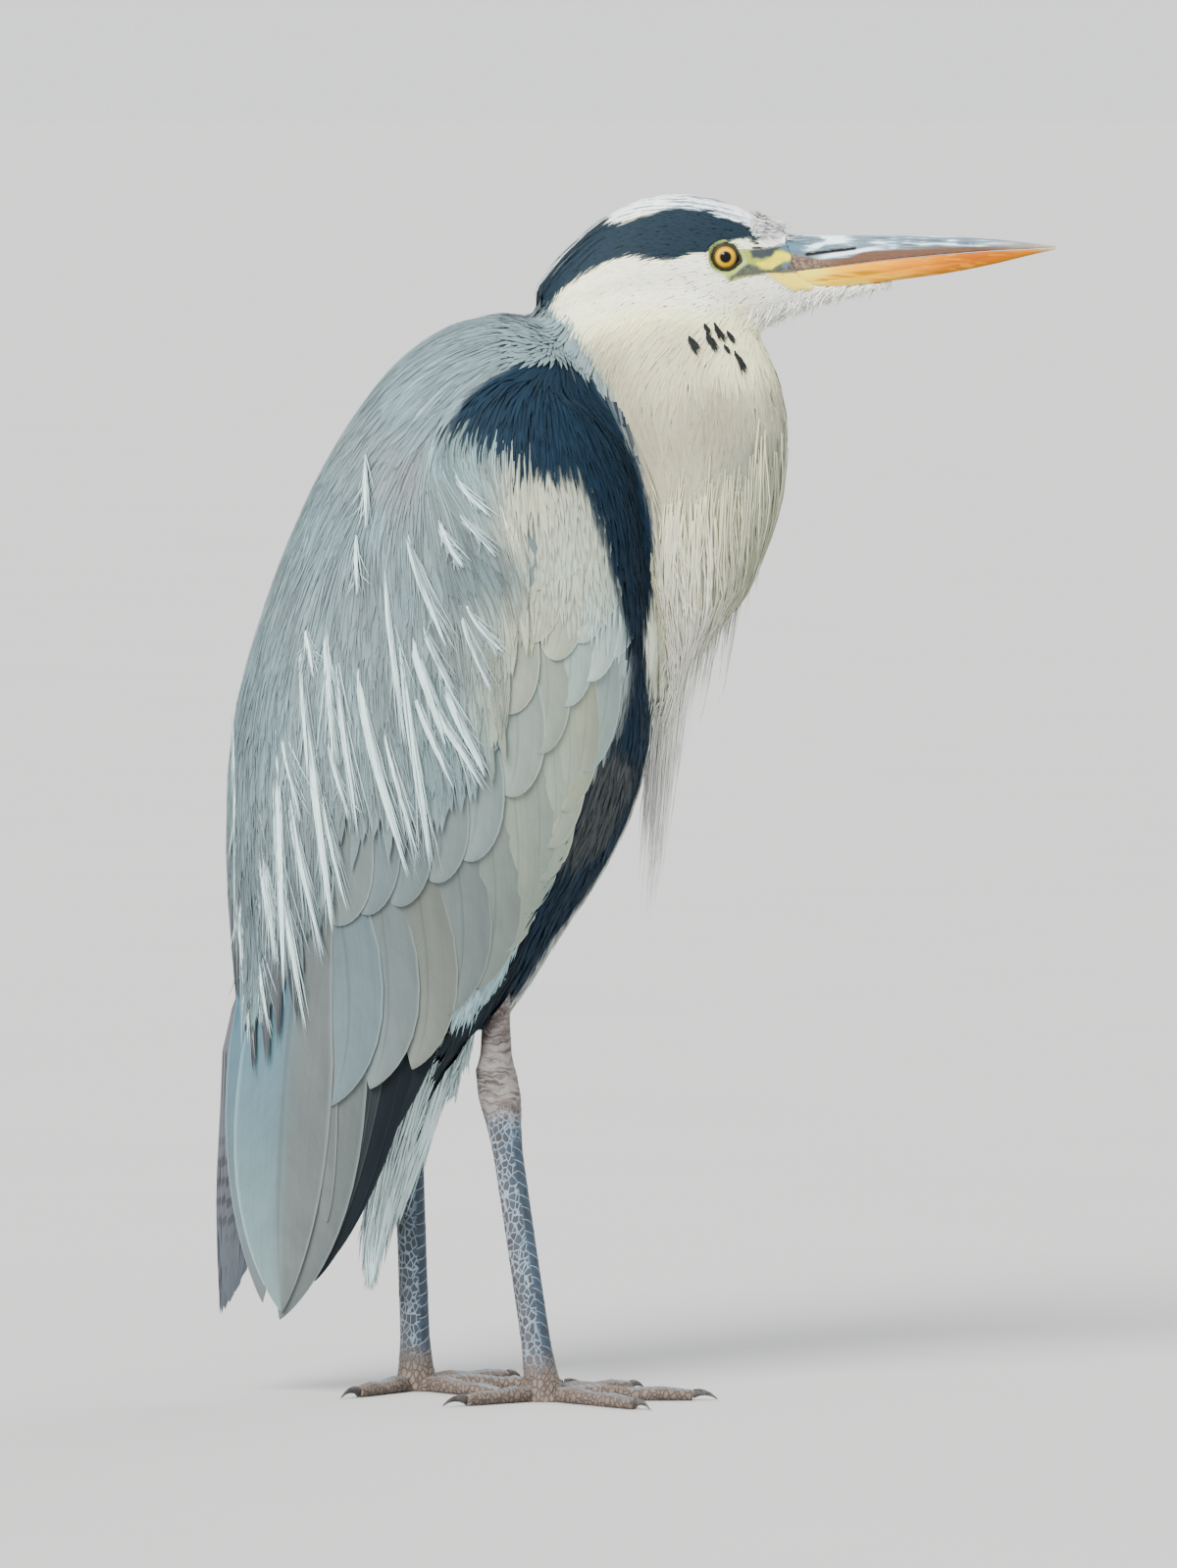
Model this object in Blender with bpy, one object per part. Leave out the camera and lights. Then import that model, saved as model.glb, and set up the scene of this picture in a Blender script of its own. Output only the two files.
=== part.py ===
"""A grey heron at rest, life size: hunched neck, folded wings, both feet flat on the ground.

+X is the way the bill points, +Y the bird's left, +Z up. The origin is on the ground, under the
middle of the bird's length. Sizes are in millimetres, and each outline is read as a smooth curve.
"""

import math

import bmesh
import bpy
from mathutils import Vector

MM = 0.001

# Driving sizes, in millimetres
TRUNK_TOP = 520.6
TRUNK_BOTTOM = 178.4
WING_TOP = 489.0
WING_TIP = 38.0
NECK_SPLIT = 446.0  # where the upper neck passes into the lower neck
PLUME_SPLIT = 334.0  # where the lower neck passes into the hanging plumes
GAP = 0.35  # air between pieces that meet
WING_GAP = 0.9  # air between a wing and the flank under it
EYE_RADIUS = 7.3
EYE_CENTRE = (43.2, 12.6, 549.0)
FOOT_RIGHT = (-43.5, 27.0)
FOOT_LEFT = (-105.5, 27.0)
PAD_RADIUS = 10.5  # sole of the foot, where the toes meet
WING_EDGE = 1.2  # thickness of the wing at both of its edges
WING_COLUMNS = 11
WING_RINGS = 22
BODY_SIDES = 36
BODY_RINGS = 23
FACET_HEIGHT = 11.0
FACET_TURN = 2 * math.pi / BODY_SIDES * 1.04
NECK_SIDES = 20
HEAD_SIDES = 20
HEAD_RINGS = 15
BILL_RINGS = 10
LEG_SIDES = 12
SHARP_ANGLE = math.radians(50)

# Body with folded wings, from the top: height, back, front, half width, squareness
BODY = [
    (520.6, -67.0, -57.0, 4.0, 2.0),
    (519.0, -76.0, -50.0, 15.0, 2.0),
    (515.0, -88.0, -43.0, 27.0, 2.1),
    (507.0, -102.0, -34.0, 40.0, 2.1),
    (494.0, -117.0, -22.0, 52.0, 2.2),
    (476.0, -131.0, -8.0, 63.0, 2.35),
    (450.0, -147.5, 3.5, 72.0, 2.5),
    (408.0, -167.0, 8.7, 78.0, 2.6),
    (370.0, -180.5, 9.7, 79.0, 2.6),
    (333.0, -190.5, 8.5, 77.0, 2.5),
    (295.0, -195.0, 2.0, 72.0, 2.4),
    (257.0, -195.5, -14.0, 64.0, 2.3),
    (224.0, -193.5, -36.0, 54.0, 2.2),
    (200.0, -191.5, -51.0, 47.5, 2.4),
    (178.0, -190.5, -66.0, 43.0, 2.9),
    (144.0, -195.0, -88.0, 37.5, 4.2),
    (106.0, -194.0, -107.0, 31.0, 4.6),
    (68.0, -189.0, -131.0, 26.0, 4.0),
    (38.0, -175.0, -154.0, 21.0, 3.0),
]
# Outline of the folded wing seen from the side: height, front edge, back edge, thickness
WING = [
    (489.0, -52.0, -62.0, 2.0),
    (480.0, -30.0, -88.0, 5.0),
    (462.0, -12.0, -112.0, 8.0),
    (441.0, -3.0, -130.0, 9.5),
    (408.0, 1.5, -150.0, 10.5),
    (370.0, 1.0, -168.0, 10.5),
    (333.0, -4.0, -182.0, 10.0),
    (300.0, -13.0, -188.0, 9.0),
    (245.0, -33.0, -189.0, 8.0),
    (200.0, -55.0, -186.5, 7.0),
    (178.0, -76.0, -186.0, 6.0),
    (144.0, -99.0, -186.0, 5.0),
    (106.0, -117.0, -185.5, 4.5),
    (68.0, -140.5, -180.0, 4.0),
    (38.0, -162.5, -167.5, 2.5),
]
# Neck, drawn in over the breast: height, back, front, half width
NECK = [
    (556.0, -22.0, 38.0, 15.0),
    (545.0, -38.0, 48.0, 21.0),
    (531.0, -45.0, 55.0, 26.0),
    (517.0, -47.0, 57.0, 30.0),
    (500.0, -43.0, 65.0, 33.0),
    (484.0, -36.0, 70.6, 35.0),
    (465.0, -28.0, 73.4, 36.5),
    (446.0, -22.0, 72.0, 36.5),
    (427.0, -18.0, 67.5, 35.5),
    (404.0, -14.0, 58.0, 33.0),
    (380.0, -9.0, 46.5, 29.0),
    (352.0, -4.0, 32.5, 23.0),
    (330.0, 0.5, 24.0, 16.0),
    (300.0, 5.0, 16.8, 8.0),
    (271.0, 6.6, 13.6, 4.0),
    (249.0, 7.0, 8.6, 1.0),
]
# Head, from nape to chin: place along the bill axis, crown, underside, half width
HEAD = [
    (-46.5, 534.0, 527.0, 3.0),
    (-42.0, 540.5, 519.0, 12.0),
    (-34.0, 549.5, 512.0, 18.0),
    (-22.0, 561.0, 508.0, 22.5),
    (-8.0, 571.5, 506.0, 24.5),
    (6.0, 577.2, 506.0, 24.5),
    (20.0, 579.0, 507.0, 23.0),
    (34.0, 577.7, 509.0, 20.5),
    (48.0, 573.2, 512.0, 17.8),
    (62.0, 567.0, 517.0, 14.6),
    (72.0, 562.5, 521.5, 12.2),
    (78.0, 552.0, 524.5, 9.8),
    (86.0, 541.0, 528.0, 7.6),
    (100.0, 538.5, 531.0, 5.4),
    (112.0, 537.2, 533.2, 3.4),
    (123.0, 537.0, 535.3, 1.2),
]
# Bill: place along its axis, culmen, line of the mouth, lower edge, half width
BILL = [
    (58.0, 557.5, 539.5, 533.0, 9.5),
    (76.0, 559.1, 542.0, 530.8, 9.2),
    (100.0, 559.1, 544.8, 533.8, 8.0),
    (119.0, 559.1, 547.1, 536.7, 6.8),
    (149.0, 558.6, 549.9, 540.6, 4.9),
    (174.0, 557.2, 551.8, 545.6, 3.2),
    (193.0, 555.2, 552.6, 550.3, 1.6),
    (202.3, 554.1, 553.2, 552.4, 0.7),
]
# Tail, a shallow roof behind the wing tips: height, ridge, half width, side drop, thickness
TAIL = [
    (178.0, -190.0, 17.0, 9.0, 15.0),
    (160.0, -195.5, 17.5, 9.0, 11.0),
    (144.0, -198.6, 18.0, 8.0, 8.0),
    (106.0, -200.4, 18.5, 7.5, 5.5),
    (70.0, -200.8, 18.5, 7.0, 5.0),
    (50.0, -200.2, 15.5, 6.0, 4.5),
    (40.0, -197.0, 8.0, 3.0, 3.0),
]
# Undertail feathers: height, back, front, half width
UNDERTAIL = [
    (178.0, -134.0, -82.0, 9.5),
    (155.0, -126.0, -86.0, 9.5),
    (130.0, -119.5, -91.0, 9.0),
    (106.0, -123.5, -101.0, 8.0),
    (86.0, -127.5, -114.0, 5.0),
    (66.5, -129.5, -126.5, 1.5),
]
# Shins, from the belly to the heel joint: height, centre along, centre out, half depth, half width
SHIN_RIGHT = [
    (222.0, -70.0, 18.0, 8.0, 6.4),
    (204.0, -67.5, 17.5, 7.2, 6.0),
    (180.0, -66.8, 16.5, 6.6, 5.6),
    (166.0, -66.8, 17.5, 7.4, 6.0),
    (159.0, -67.0, 18.0, 9.2, 6.6),
]
SHIN_LEFT = [
    (222.0, -92.0, 20.0, 8.0, 6.4),
    (204.0, -97.0, 19.5, 7.2, 6.0),
    (180.0, -104.0, 18.5, 6.6, 5.6),
    (166.0, -108.5, 18.0, 7.4, 6.0),
    (159.0, -110.5, 18.0, 9.2, 6.6),
]
# Shank below it: share of its length down from the heel joint, half depth, half width
SHANK = [
    (0.0, 9.6, 6.9),
    (0.06, 10.4, 7.3),
    (0.14, 8.8, 6.4),
    (0.24, 7.0, 5.2),
    (0.60, 6.8, 4.8),
    (0.86, 7.0, 5.0),
    (0.95, 9.0, 7.4),
    (1.0, 10.4, 10.4),
]
HEEL_RIGHT = (-67.0, 18.0, 158.6)
HEEL_LEFT = (-110.7, 18.0, 158.6)
# Toes: name, bearing outwards from straight ahead in degrees, length, claw length
TOES_RIGHT = [
    ("inner", -48.0, 50.0, 11.0),
    ("middle", 0.0, 60.0, 12.0),
    ("outer", 47.0, 52.0, 11.0),
    ("hind", 143.0, 36.0, 14.0),
]
TOES_LEFT = [
    ("inner", -48.0, 50.0, 11.0),
    ("middle", 0.0, 60.0, 12.0),
    ("outer", 47.0, 52.0, 11.0),
    ("hind", -126.0, 36.0, 14.0),
]
TOE_RADIUS = 4.3
CLAW_RADIUS = 2.5

COLOURS = {  # colour and roughness
    "white": ((0.80, 0.79, 0.75), 0.8),
    "grey": ((0.42, 0.46, 0.49), 0.75),
    "slate": ((0.30, 0.34, 0.38), 0.7),
    "horn": ((0.36, 0.34, 0.33), 0.4),
    "orange": ((0.80, 0.48, 0.10), 0.4),
    "amber": ((0.85, 0.52, 0.05), 0.1),
    "leg": ((0.36, 0.32, 0.29), 0.6),
    "claw": ((0.06, 0.06, 0.07), 0.35),
}


def read_curve(rows, at):
    """The row of a table at a place along its first column, by cubics that never overshoot."""
    rows = sorted(rows)
    places = [row[0] for row in rows]
    at = min(max(at, places[0]), places[-1])
    k = max(i for i in range(len(rows) - 1) if places[i] <= at)
    spans = [b - a for a, b in zip(places, places[1:])]
    t = (at - places[k]) / spans[k]
    found = []
    for column in range(1, len(rows[0])):
        values = [row[column] for row in rows]
        rises = [(b - a) / span for a, b, span in zip(values, values[1:], spans)]

        def slope(i):
            if i == 0 or i == len(rows) - 1:
                return rises[min(i, len(rises) - 1)]
            before, after = rises[i - 1], rises[i]
            if before * after <= 0:
                return 0.0
            return 2 * before * after / (before + after)

        start, end = values[k], values[k + 1]
        bend = t * (1 - t) * spans[k]
        smooth = t * t * (3 - 2 * t)
        found.append(start + (end - start) * smooth + bend * (slope(k) * (1 - t) - slope(k + 1) * t))
    return found


def oval(angle, squareness):
    """A point of a unit superellipse, which is a circle at squareness 2."""
    c, s = math.cos(angle), math.sin(angle)
    power = 2 / squareness
    return math.copysign(abs(c) ** power, c), math.copysign(abs(s) ** power, s)


def body_point(height, angle, inset=0.0):
    """A point on the body's outline at this height, moved inwards by inset. Angle 0 is the front."""
    back, front, half_width, squareness = read_curve(BODY, height)
    middle, half_depth = (back + front) / 2, (front - back) / 2

    def at(turn):
        c, s = oval(turn, squareness)
        return Vector((middle + half_depth * c, half_width * s))

    spot = at(angle)
    if inset:
        step = 0.02
        along = at(angle + step) - at(angle - step)
        spot -= Vector((along.y, -along.x)).normalized() * inset
    return spot


def angle_at(height, x):
    """The angle, from 0 to pi, at which the body's outline passes this place."""
    back, front, _, squareness = read_curve(BODY, height)
    share = (x - (back + front) / 2) / ((front - back) / 2)
    share = min(max(share, -0.9999), 0.9999)
    return math.acos(math.copysign(abs(share) ** (squareness / 2), share))


def wing_angles(height):
    front_edge, back_edge, _ = read_curve(WING, height)
    return angle_at(height, front_edge), angle_at(height, back_edge)


def wing_depth(height, angle):
    """Thickness of the folded wing there: thin at both edges, fullest in the middle."""
    front, back = wing_angles(height)
    across = min(max((angle - front) / (back - front), 0.0), 1.0)
    full = read_curve(WING, height)[2]
    return WING_EDGE + (full - WING_EDGE) * math.sin(math.pi * across) ** 0.7


def make_object(name, mesh_builder, colour):
    obj = bpy.data.objects.new(name, bpy.data.meshes.new(name))
    bpy.context.scene.collection.objects.link(obj)
    mesh_builder.to_mesh(obj.data)
    mesh_builder.free()
    obj.data.shade_smooth()
    obj.data.set_sharp_from_angle(angle=SHARP_ANGLE)
    rgb, roughness = COLOURS[colour]
    material = bpy.data.materials.new(name)
    material.use_nodes = True
    shader = material.node_tree.nodes["Principled BSDF"]
    shader.inputs["Base Color"].default_value = (*rgb, 1)
    shader.inputs["Roughness"].default_value = roughness
    obj.data.materials.append(material)
    return obj


def loft(name, rings, colour):
    """A closed skin through rings of points, in millimetres, capped at both ends."""
    bm = bmesh.new()
    count = len(rings[0])
    ring = [bm.verts.new(Vector(p) * MM) for p in rings[0]]
    edges = [bm.edges.new((ring[i], ring[(i + 1) % count])) for i in range(count)]
    bmesh.ops.contextual_create(bm, geom=edges)
    for points in rings[1:]:
        grown = bmesh.ops.extrude_edge_only(bm, edges=edges)["geom"]
        fresh = {g for g in grown if isinstance(g, bmesh.types.BMVert)}
        ring = [next(e.other_vert(v) for e in v.link_edges if e.other_vert(v) in fresh) for v in ring]
        for vert, p in zip(ring, points):
            vert.co = Vector(p) * MM
        edges = [bm.edges.get((ring[i], ring[(i + 1) % count])) for i in range(count)]
    bmesh.ops.contextual_create(bm, geom=edges)
    bmesh.ops.recalc_face_normals(bm, faces=bm.faces)
    bmesh.ops.triangulate(bm, faces=[f for f in bm.faces if len(f.verts) > 4])
    return make_object(name, bm, colour)


def levels(top, bottom, count, crowding=1.0):
    """Heights from top to bottom, closer together near the top when crowding is over 1."""
    return [top - (top - bottom) * (i / (count - 1)) ** crowding for i in range(count)]


def around(count):
    return [2 * math.pi * i / count for i in range(count)]


def flank_depth(height, angle):
    """How far the trunk's surface lies inside the body's outline, to make room for the wings.

    The room is a facet wider than the wing all round, so no facet of the trunk slopes into it.
    """
    side = angle if angle <= math.pi else 2 * math.pi - angle
    near = [h for h in (height - FACET_HEIGHT, height, height + FACET_HEIGHT) if h < WING_TOP]
    if not near:
        return 0.0
    edges = [wing_angles(h) for h in near]
    front, back = min(e[0] for e in edges), max(e[1] for e in edges)
    if not front - FACET_TURN < side < back + FACET_TURN:
        return 0.0
    return max(wing_depth(h, side) for h in near) + WING_GAP


def body_rings(depth):
    """Level rings of the body, each point moved inwards by the depth found for it."""
    return [
        [(*body_point(height, a, depth(height, a)), height) for a in around(BODY_SIDES)]
        for height in levels(TRUNK_TOP, TRUNK_BOTTOM, BODY_RINGS, 1.35)
    ]


def make_trunk():
    return loft("trunk", body_rings(flank_depth), "grey")


def make_body_room():
    """The whole body with its wings, a gap larger all round."""
    rings = body_rings(lambda height, a: -GAP)
    rings[0] = [(x, y, z + GAP) for x, y, z in rings[0]]
    return loft("room_for_body", rings, "grey")


def make_wing(name, side):
    """A folded wing: a shell that follows the flank, side is -1 on the right and 1 on the left."""
    rings = []
    for height in levels(WING_TOP, WING_TIP, WING_RINGS, 1.15):
        front, back = wing_angles(height)
        turns = [front + (back - front) * i / (WING_COLUMNS - 1) for i in range(WING_COLUMNS)]
        outer = [body_point(height, a) for a in turns]
        inner = [body_point(height, a, wing_depth(height, a)) for a in reversed(turns)]
        rings.append([(p.x, p.y * side, height) for p in outer + inner])
    return loft(name, rings, "grey")


def upright_rings(table, heights, count=NECK_SIDES):
    """Level rings through a table of height, back, front and half width."""
    rings = []
    for height in heights:
        back, front, half_width = read_curve(table, height)
        middle, half_depth = (back + front) / 2, (front - back) / 2
        rings.append([(middle + half_depth * math.cos(a), half_width * math.sin(a), height)
                      for a in around(count)])
    return rings


def make_neck():
    top, bottom = NECK[0][0], NECK[-1][0]
    parts = [
        ("neck_upper", levels(top, NECK_SPLIT + GAP / 2, 9)),
        ("neck_lower", levels(NECK_SPLIT - GAP / 2, PLUME_SPLIT + GAP / 2, 9)),
        ("breast_plumes", levels(PLUME_SPLIT - GAP / 2, bottom, 6)),
    ]
    return [loft(name, upright_rings(NECK, heights), "white") for name, heights in parts]


def head_rings(grow=0.0):
    """Rings across the head, egg-shaped: widest a little below the middle."""
    rings = []
    for i in range(HEAD_RINGS):
        x = HEAD[0][0] + (HEAD[-1][0] - HEAD[0][0]) * i / (HEAD_RINGS - 1)
        crown, underside, half_width = read_curve(HEAD, x)
        middle, half_height = (crown + underside) / 2, (crown - underside) / 2
        ring = []
        for a in around(HEAD_SIDES):
            c, s = math.cos(a), math.sin(a)
            fullness = 1 - 0.12 * s
            ring.append((x, (half_width * fullness + grow) * c, middle + (half_height + grow) * s))
        rings.append(ring)
    return rings


def bill_stations():
    length = BILL[-1][0] - BILL[0][0]
    return [BILL[0][0] + length * (i / (BILL_RINGS - 1)) ** 0.85 for i in range(BILL_RINGS)]


def bill_ring(x, upper, lower, grow=0.0):
    """A section of the bill: a rounded culmen over the mouth line, a rounded keel under it."""
    culmen, mouth, keel, half_width = read_curve(BILL, x)
    ring = []
    turns = around(20)
    if not lower:
        turns = turns[:11]
    if not upper:
        turns = [-a for a in turns[:11]]
    level = mouth + (GAP / 2) * (upper - lower)
    for a in turns:
        c, s = math.cos(a), math.sin(a)
        reach = culmen - level if s > 0 else level - keel
        width = (half_width + grow) * math.copysign(abs(c) ** 0.8, c)
        ring.append((x, width, level + (max(reach, 0.5) + grow) * s))
    return ring


def make_bill():
    """Both halves of the bill, flat where they meet at the mouth."""
    loft("bill_upper", [bill_ring(x, True, False) for x in bill_stations()], "horn")
    loft("bill_lower", [bill_ring(x, False, True) for x in bill_stations()], "orange")


def make_eye(name, side, radius=EYE_RADIUS):
    bm = bmesh.new()
    bmesh.ops.create_uvsphere(bm, u_segments=16, v_segments=8, radius=radius * MM)
    obj = make_object(name, bm, "amber")
    x, y, z = EYE_CENTRE
    obj.location = Vector((x, y * side, z)) * MM
    return obj


def make_tail():
    """A shallow roof: each ring runs along the outer curve and back along the inner one."""
    rings = []
    for height in levels(TRUNK_BOTTOM - GAP, TAIL[-1][0], 9):
        ridge, half_width, drop, thickness = read_curve(TAIL, height)
        across = [-1 + i / 3 for i in range(7)]
        outer = [(ridge + drop * u * u, half_width * u, height) for u in across]
        inner = [(ridge + drop * u * u + thickness * (1 - 0.5 * u * u), half_width * u * 0.97, height)
                 for u in reversed(across)]
        rings.append(outer + inner)
    return loft("tail", rings, "slate")


def leg_rings(rows, side, grow=0.0):
    """Level rings through rows of height, centre along and out, half depth and half width."""
    return [
        [(x + (half_depth + grow) * math.cos(a), y * side + (half_width + grow) * math.sin(a), z)
         for a in around(LEG_SIDES)]
        for z, x, y, half_depth, half_width in rows
    ]


def make_shank(name, side, heel, foot):
    """The long bare shank from the heel joint to the sole, which is flat on the ground."""
    rows = []
    for i in range(13):
        share = i / 12
        along, out = (heel[k] + (foot[k] - heel[k]) * share for k in (0, 1))
        rows.append((heel[2] * (1 - share), along, out, *read_curve(SHANK, share)))
    return loft(name, leg_rings(rows, side), "leg")


def make_toe(name, foot, bearing, length, claw_length):
    """A toe that lies flat, with a pad under each joint, and its claw as a piece of its own."""
    ahead = Vector((math.cos(bearing), math.sin(bearing), 0))
    aside = Vector((-ahead.y, ahead.x, 0))
    start = Vector((foot[0], foot[1], 0)) + ahead * (PAD_RADIUS + GAP)

    def ring(away, level, radius, narrowing, sides):
        centre = start + ahead * away
        turns = around(sides)
        spots = [centre + aside * (radius * narrowing * math.cos(a)) for a in turns]
        return [(p.x, p.y, max(level + radius * math.sin(a), 0.0)) for p, a in zip(spots, turns)]

    rings = []
    for i in range(9):
        share = i / 8
        radius = TOE_RADIUS * (1 - 0.28 * share) * (1 - 0.08 * math.cos(4 * math.pi * share))
        rings.append(ring(length * share, radius * 0.85, radius, 1.0, 8))
    toe = loft(name, rings, "leg")
    rings = []
    for i in range(5):
        share = i / 4
        radius = CLAW_RADIUS * (1 - 0.8 * share)
        level = 3.2 + 2.2 * math.sin(math.pi * 0.6 * share) - 4.6 * share**2
        rings.append(ring(length + GAP + claw_length * share, level, radius, 0.75, 7))
    claw = loft(name.replace("toe", "claw"), rings, "claw")
    return toe, claw


def subtract(piece, cutter):
    """Cuts the cutter's shape out of the piece. The cutter itself is only a guide."""
    cutter.hide_render = True
    cutter.display_type = "WIRE"
    cut = piece.modifiers.new("cut_" + cutter.name, "BOOLEAN")
    cut.operation = "DIFFERENCE"
    cut.solver = "EXACT"
    cut.object = cutter


def make_head():
    """The head with room for the bill and both eyes, and its shape cut from the upper neck."""
    head = loft("head", head_rings(), "white")
    rings = [bill_ring(x, True, True, GAP) for x in bill_stations()]
    rings[0] = [(x - GAP, y, z) for x, y, z in rings[0]]
    subtract(head, loft("room_for_bill", rings, "horn"))
    for name, side in (("room_for_right_eye", -1), ("room_for_left_eye", 1)):
        subtract(head, make_eye(name, side, EYE_RADIUS + GAP))
    return head


def make_legs(trunk):
    sides = (
        ("right", -1, SHIN_RIGHT, HEEL_RIGHT, FOOT_RIGHT, TOES_RIGHT),
        ("left", 1, SHIN_LEFT, HEEL_LEFT, FOOT_LEFT, TOES_LEFT),
    )
    for word, side, shin, heel, foot, toes in sides:
        loft("shin_" + word, leg_rings(shin, side), "leg")
        top = (shin[0][0] + GAP, *shin[0][1:])
        room = leg_rings([top, *shin[1:]], side, GAP)
        subtract(trunk, loft("room_for_shin_" + word, room, "leg"))
        make_shank("shank_" + word, side, heel, foot)
        spot = (foot[0], foot[1] * side)
        for toe, bearing, length, claw_length in toes:
            make_toe(f"toe_{toe}_{word}", spot, math.radians(bearing) * side, length, claw_length)


def main():
    for obj in list(bpy.data.objects):
        bpy.data.objects.remove(obj)
    trunk = make_trunk()
    make_wing("wing_right", -1)
    make_wing("wing_left", 1)
    upper, lower, plumes = make_neck()
    make_head()
    make_bill()
    make_eye("eye_right", -1)
    make_eye("eye_left", 1)
    make_tail()
    heights = levels(TRUNK_BOTTOM - GAP, UNDERTAIL[-1][0], 8)
    loft("undertail", upright_rings(UNDERTAIL, heights, 12), "white")
    make_legs(trunk)
    body_room = make_body_room()
    subtract(upper, loft("room_for_head", head_rings(GAP), "white"))
    for piece in (upper, lower, plumes):
        subtract(piece, body_room)


main()
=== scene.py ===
import math

import bpy
import numpy as np
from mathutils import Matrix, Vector
from mathutils.bvhtree import BVHTree


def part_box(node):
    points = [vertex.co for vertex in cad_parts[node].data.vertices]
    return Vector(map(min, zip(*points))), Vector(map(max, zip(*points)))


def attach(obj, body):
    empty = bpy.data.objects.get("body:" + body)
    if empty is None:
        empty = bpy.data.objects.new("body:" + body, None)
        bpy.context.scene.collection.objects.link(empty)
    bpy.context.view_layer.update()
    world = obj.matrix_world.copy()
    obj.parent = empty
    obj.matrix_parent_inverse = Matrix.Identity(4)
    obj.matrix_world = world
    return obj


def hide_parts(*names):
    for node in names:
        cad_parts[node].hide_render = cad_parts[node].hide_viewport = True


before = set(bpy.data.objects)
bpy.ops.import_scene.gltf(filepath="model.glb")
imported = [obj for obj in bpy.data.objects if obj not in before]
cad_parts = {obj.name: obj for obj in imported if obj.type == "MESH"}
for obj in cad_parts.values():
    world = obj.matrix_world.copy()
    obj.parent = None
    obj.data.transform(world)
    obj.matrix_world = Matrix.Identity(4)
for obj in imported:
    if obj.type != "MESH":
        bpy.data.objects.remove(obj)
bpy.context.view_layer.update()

# A grey heron standing hunched, in metres. +X is the way the bill points, +Y the bird's left.
mm = 0.001
dice = np.random.default_rng(11)


view = {
    "target": (-0.0224, 0.0, 0.2952),
    "seenHeight": 0.7547,
    "distance": 7.0,
    "elevation": 3.0,
    "sensor": 36.0,
    "clipEnd": 200.0,
}
studio = {
    "floorRadius": 90.0,
    "floorColour": (0.445, 0.445, 0.44),
    "floorMottle": (0.97, 1.03),
    "floorGrain": 3.0,
    "floorRough": 0.9,
    "floorGloss": 0.1,
    "lampDistance": 4.0,
    "skyColour": (0.99, 1.0, 1.02),
    "skyStrength": 1.32,
    # name, direction the light comes from, strength, softness in degrees, colour
    "suns": [
        ("keyLight", (-0.42, -0.66, 0.62), 7.4, 28.0, (1.0, 0.985, 0.96)),
        ("rimLight", (0.5, 0.7, 0.5), 1.6, 40.0, (0.95, 0.98, 1.0)),
    ],
}


def smoothstep(low, high, value):
    t = np.clip((value - low) / (high - low), 0, 1)
    return t * t * (3 - 2 * t)


def pigment(seen):
    # palettes hold the colours as they look in this light, and this gives the paint for them
    seen = np.asarray(seen, float)
    top = seen.max(-1, keepdims=True)
    gap = top - seen
    vivid = gap.max(-1, keepdims=True)
    share = (gap / np.maximum(vivid, 1e-4)) ** 2
    seen = seen - (0.33 * smoothstep(0.25, 0.5, top) * gap + 0.27 * vivid**3) * share
    seen = np.clip(seen, 0.002, 1)
    return np.clip(seen / (1 - 0.95 * np.clip(seen, 0, 0.85) ** 1.5) / 2.9, 0.0015, 0.9)


def ink(seen):
    return (*(float(c) for c in pigment(seen)), 1.0)


def aim(obj, target):
    obj.rotation_euler = (Vector(target) - obj.location).to_track_quat("-Z", "Y").to_euler()


def makeCamera():
    rise = math.radians(view["elevation"])
    away = Vector((0, -math.cos(rise), math.sin(rise)))
    lens = bpy.data.cameras.new("heronCamera")
    lens.sensor_fit = "VERTICAL"
    lens.sensor_height = view["sensor"]
    lens.lens = view["sensor"] * view["distance"] / view["seenHeight"]
    lens.clip_end = view["clipEnd"]
    camera = bpy.data.objects.new("heronCamera", lens)
    bpy.context.scene.collection.objects.link(camera)
    camera.location = Vector(view["target"]) + away * view["distance"]
    aim(camera, view["target"])
    bpy.context.scene.camera = camera
    print("camera set")


def makeStudio():
    bpy.ops.mesh.primitive_circle_add(vertices=96, radius=studio["floorRadius"], fill_type="NGON")
    floor = bpy.context.object
    floor.name = "floor"
    paint = Paint("floorPaint")
    grain = paint.noise(paint.place(), studio["floorGrain"], 4.0)
    low, high = ((*(c * k for c in studio["floorColour"]), 1) for k in studio["floorMottle"])
    finished = paint.finish(paint.mix(grain, low, high), studio["floorRough"], studio["floorGloss"])
    floor.data.materials.append(finished)
    world = bpy.data.worlds.new("studioSky")
    world.use_nodes = True
    sky = world.node_tree.nodes["Background"]
    sky.inputs["Color"].default_value = (*studio["skyColour"], 1)
    sky.inputs["Strength"].default_value = studio["skyStrength"]
    bpy.context.scene.world = world
    for name, way, strength, softness, colour in studio["suns"]:
        lamp = bpy.data.lights.new(name, "SUN")
        lamp.energy = strength
        lamp.angle = math.radians(softness)
        lamp.color = colour
        holder = bpy.data.objects.new(name, lamp)
        bpy.context.scene.collection.objects.link(holder)
        holder.location = Vector(way) * studio["lampDistance"]
        aim(holder, (0, 0, 0))
    print("floor and lights set")


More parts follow.
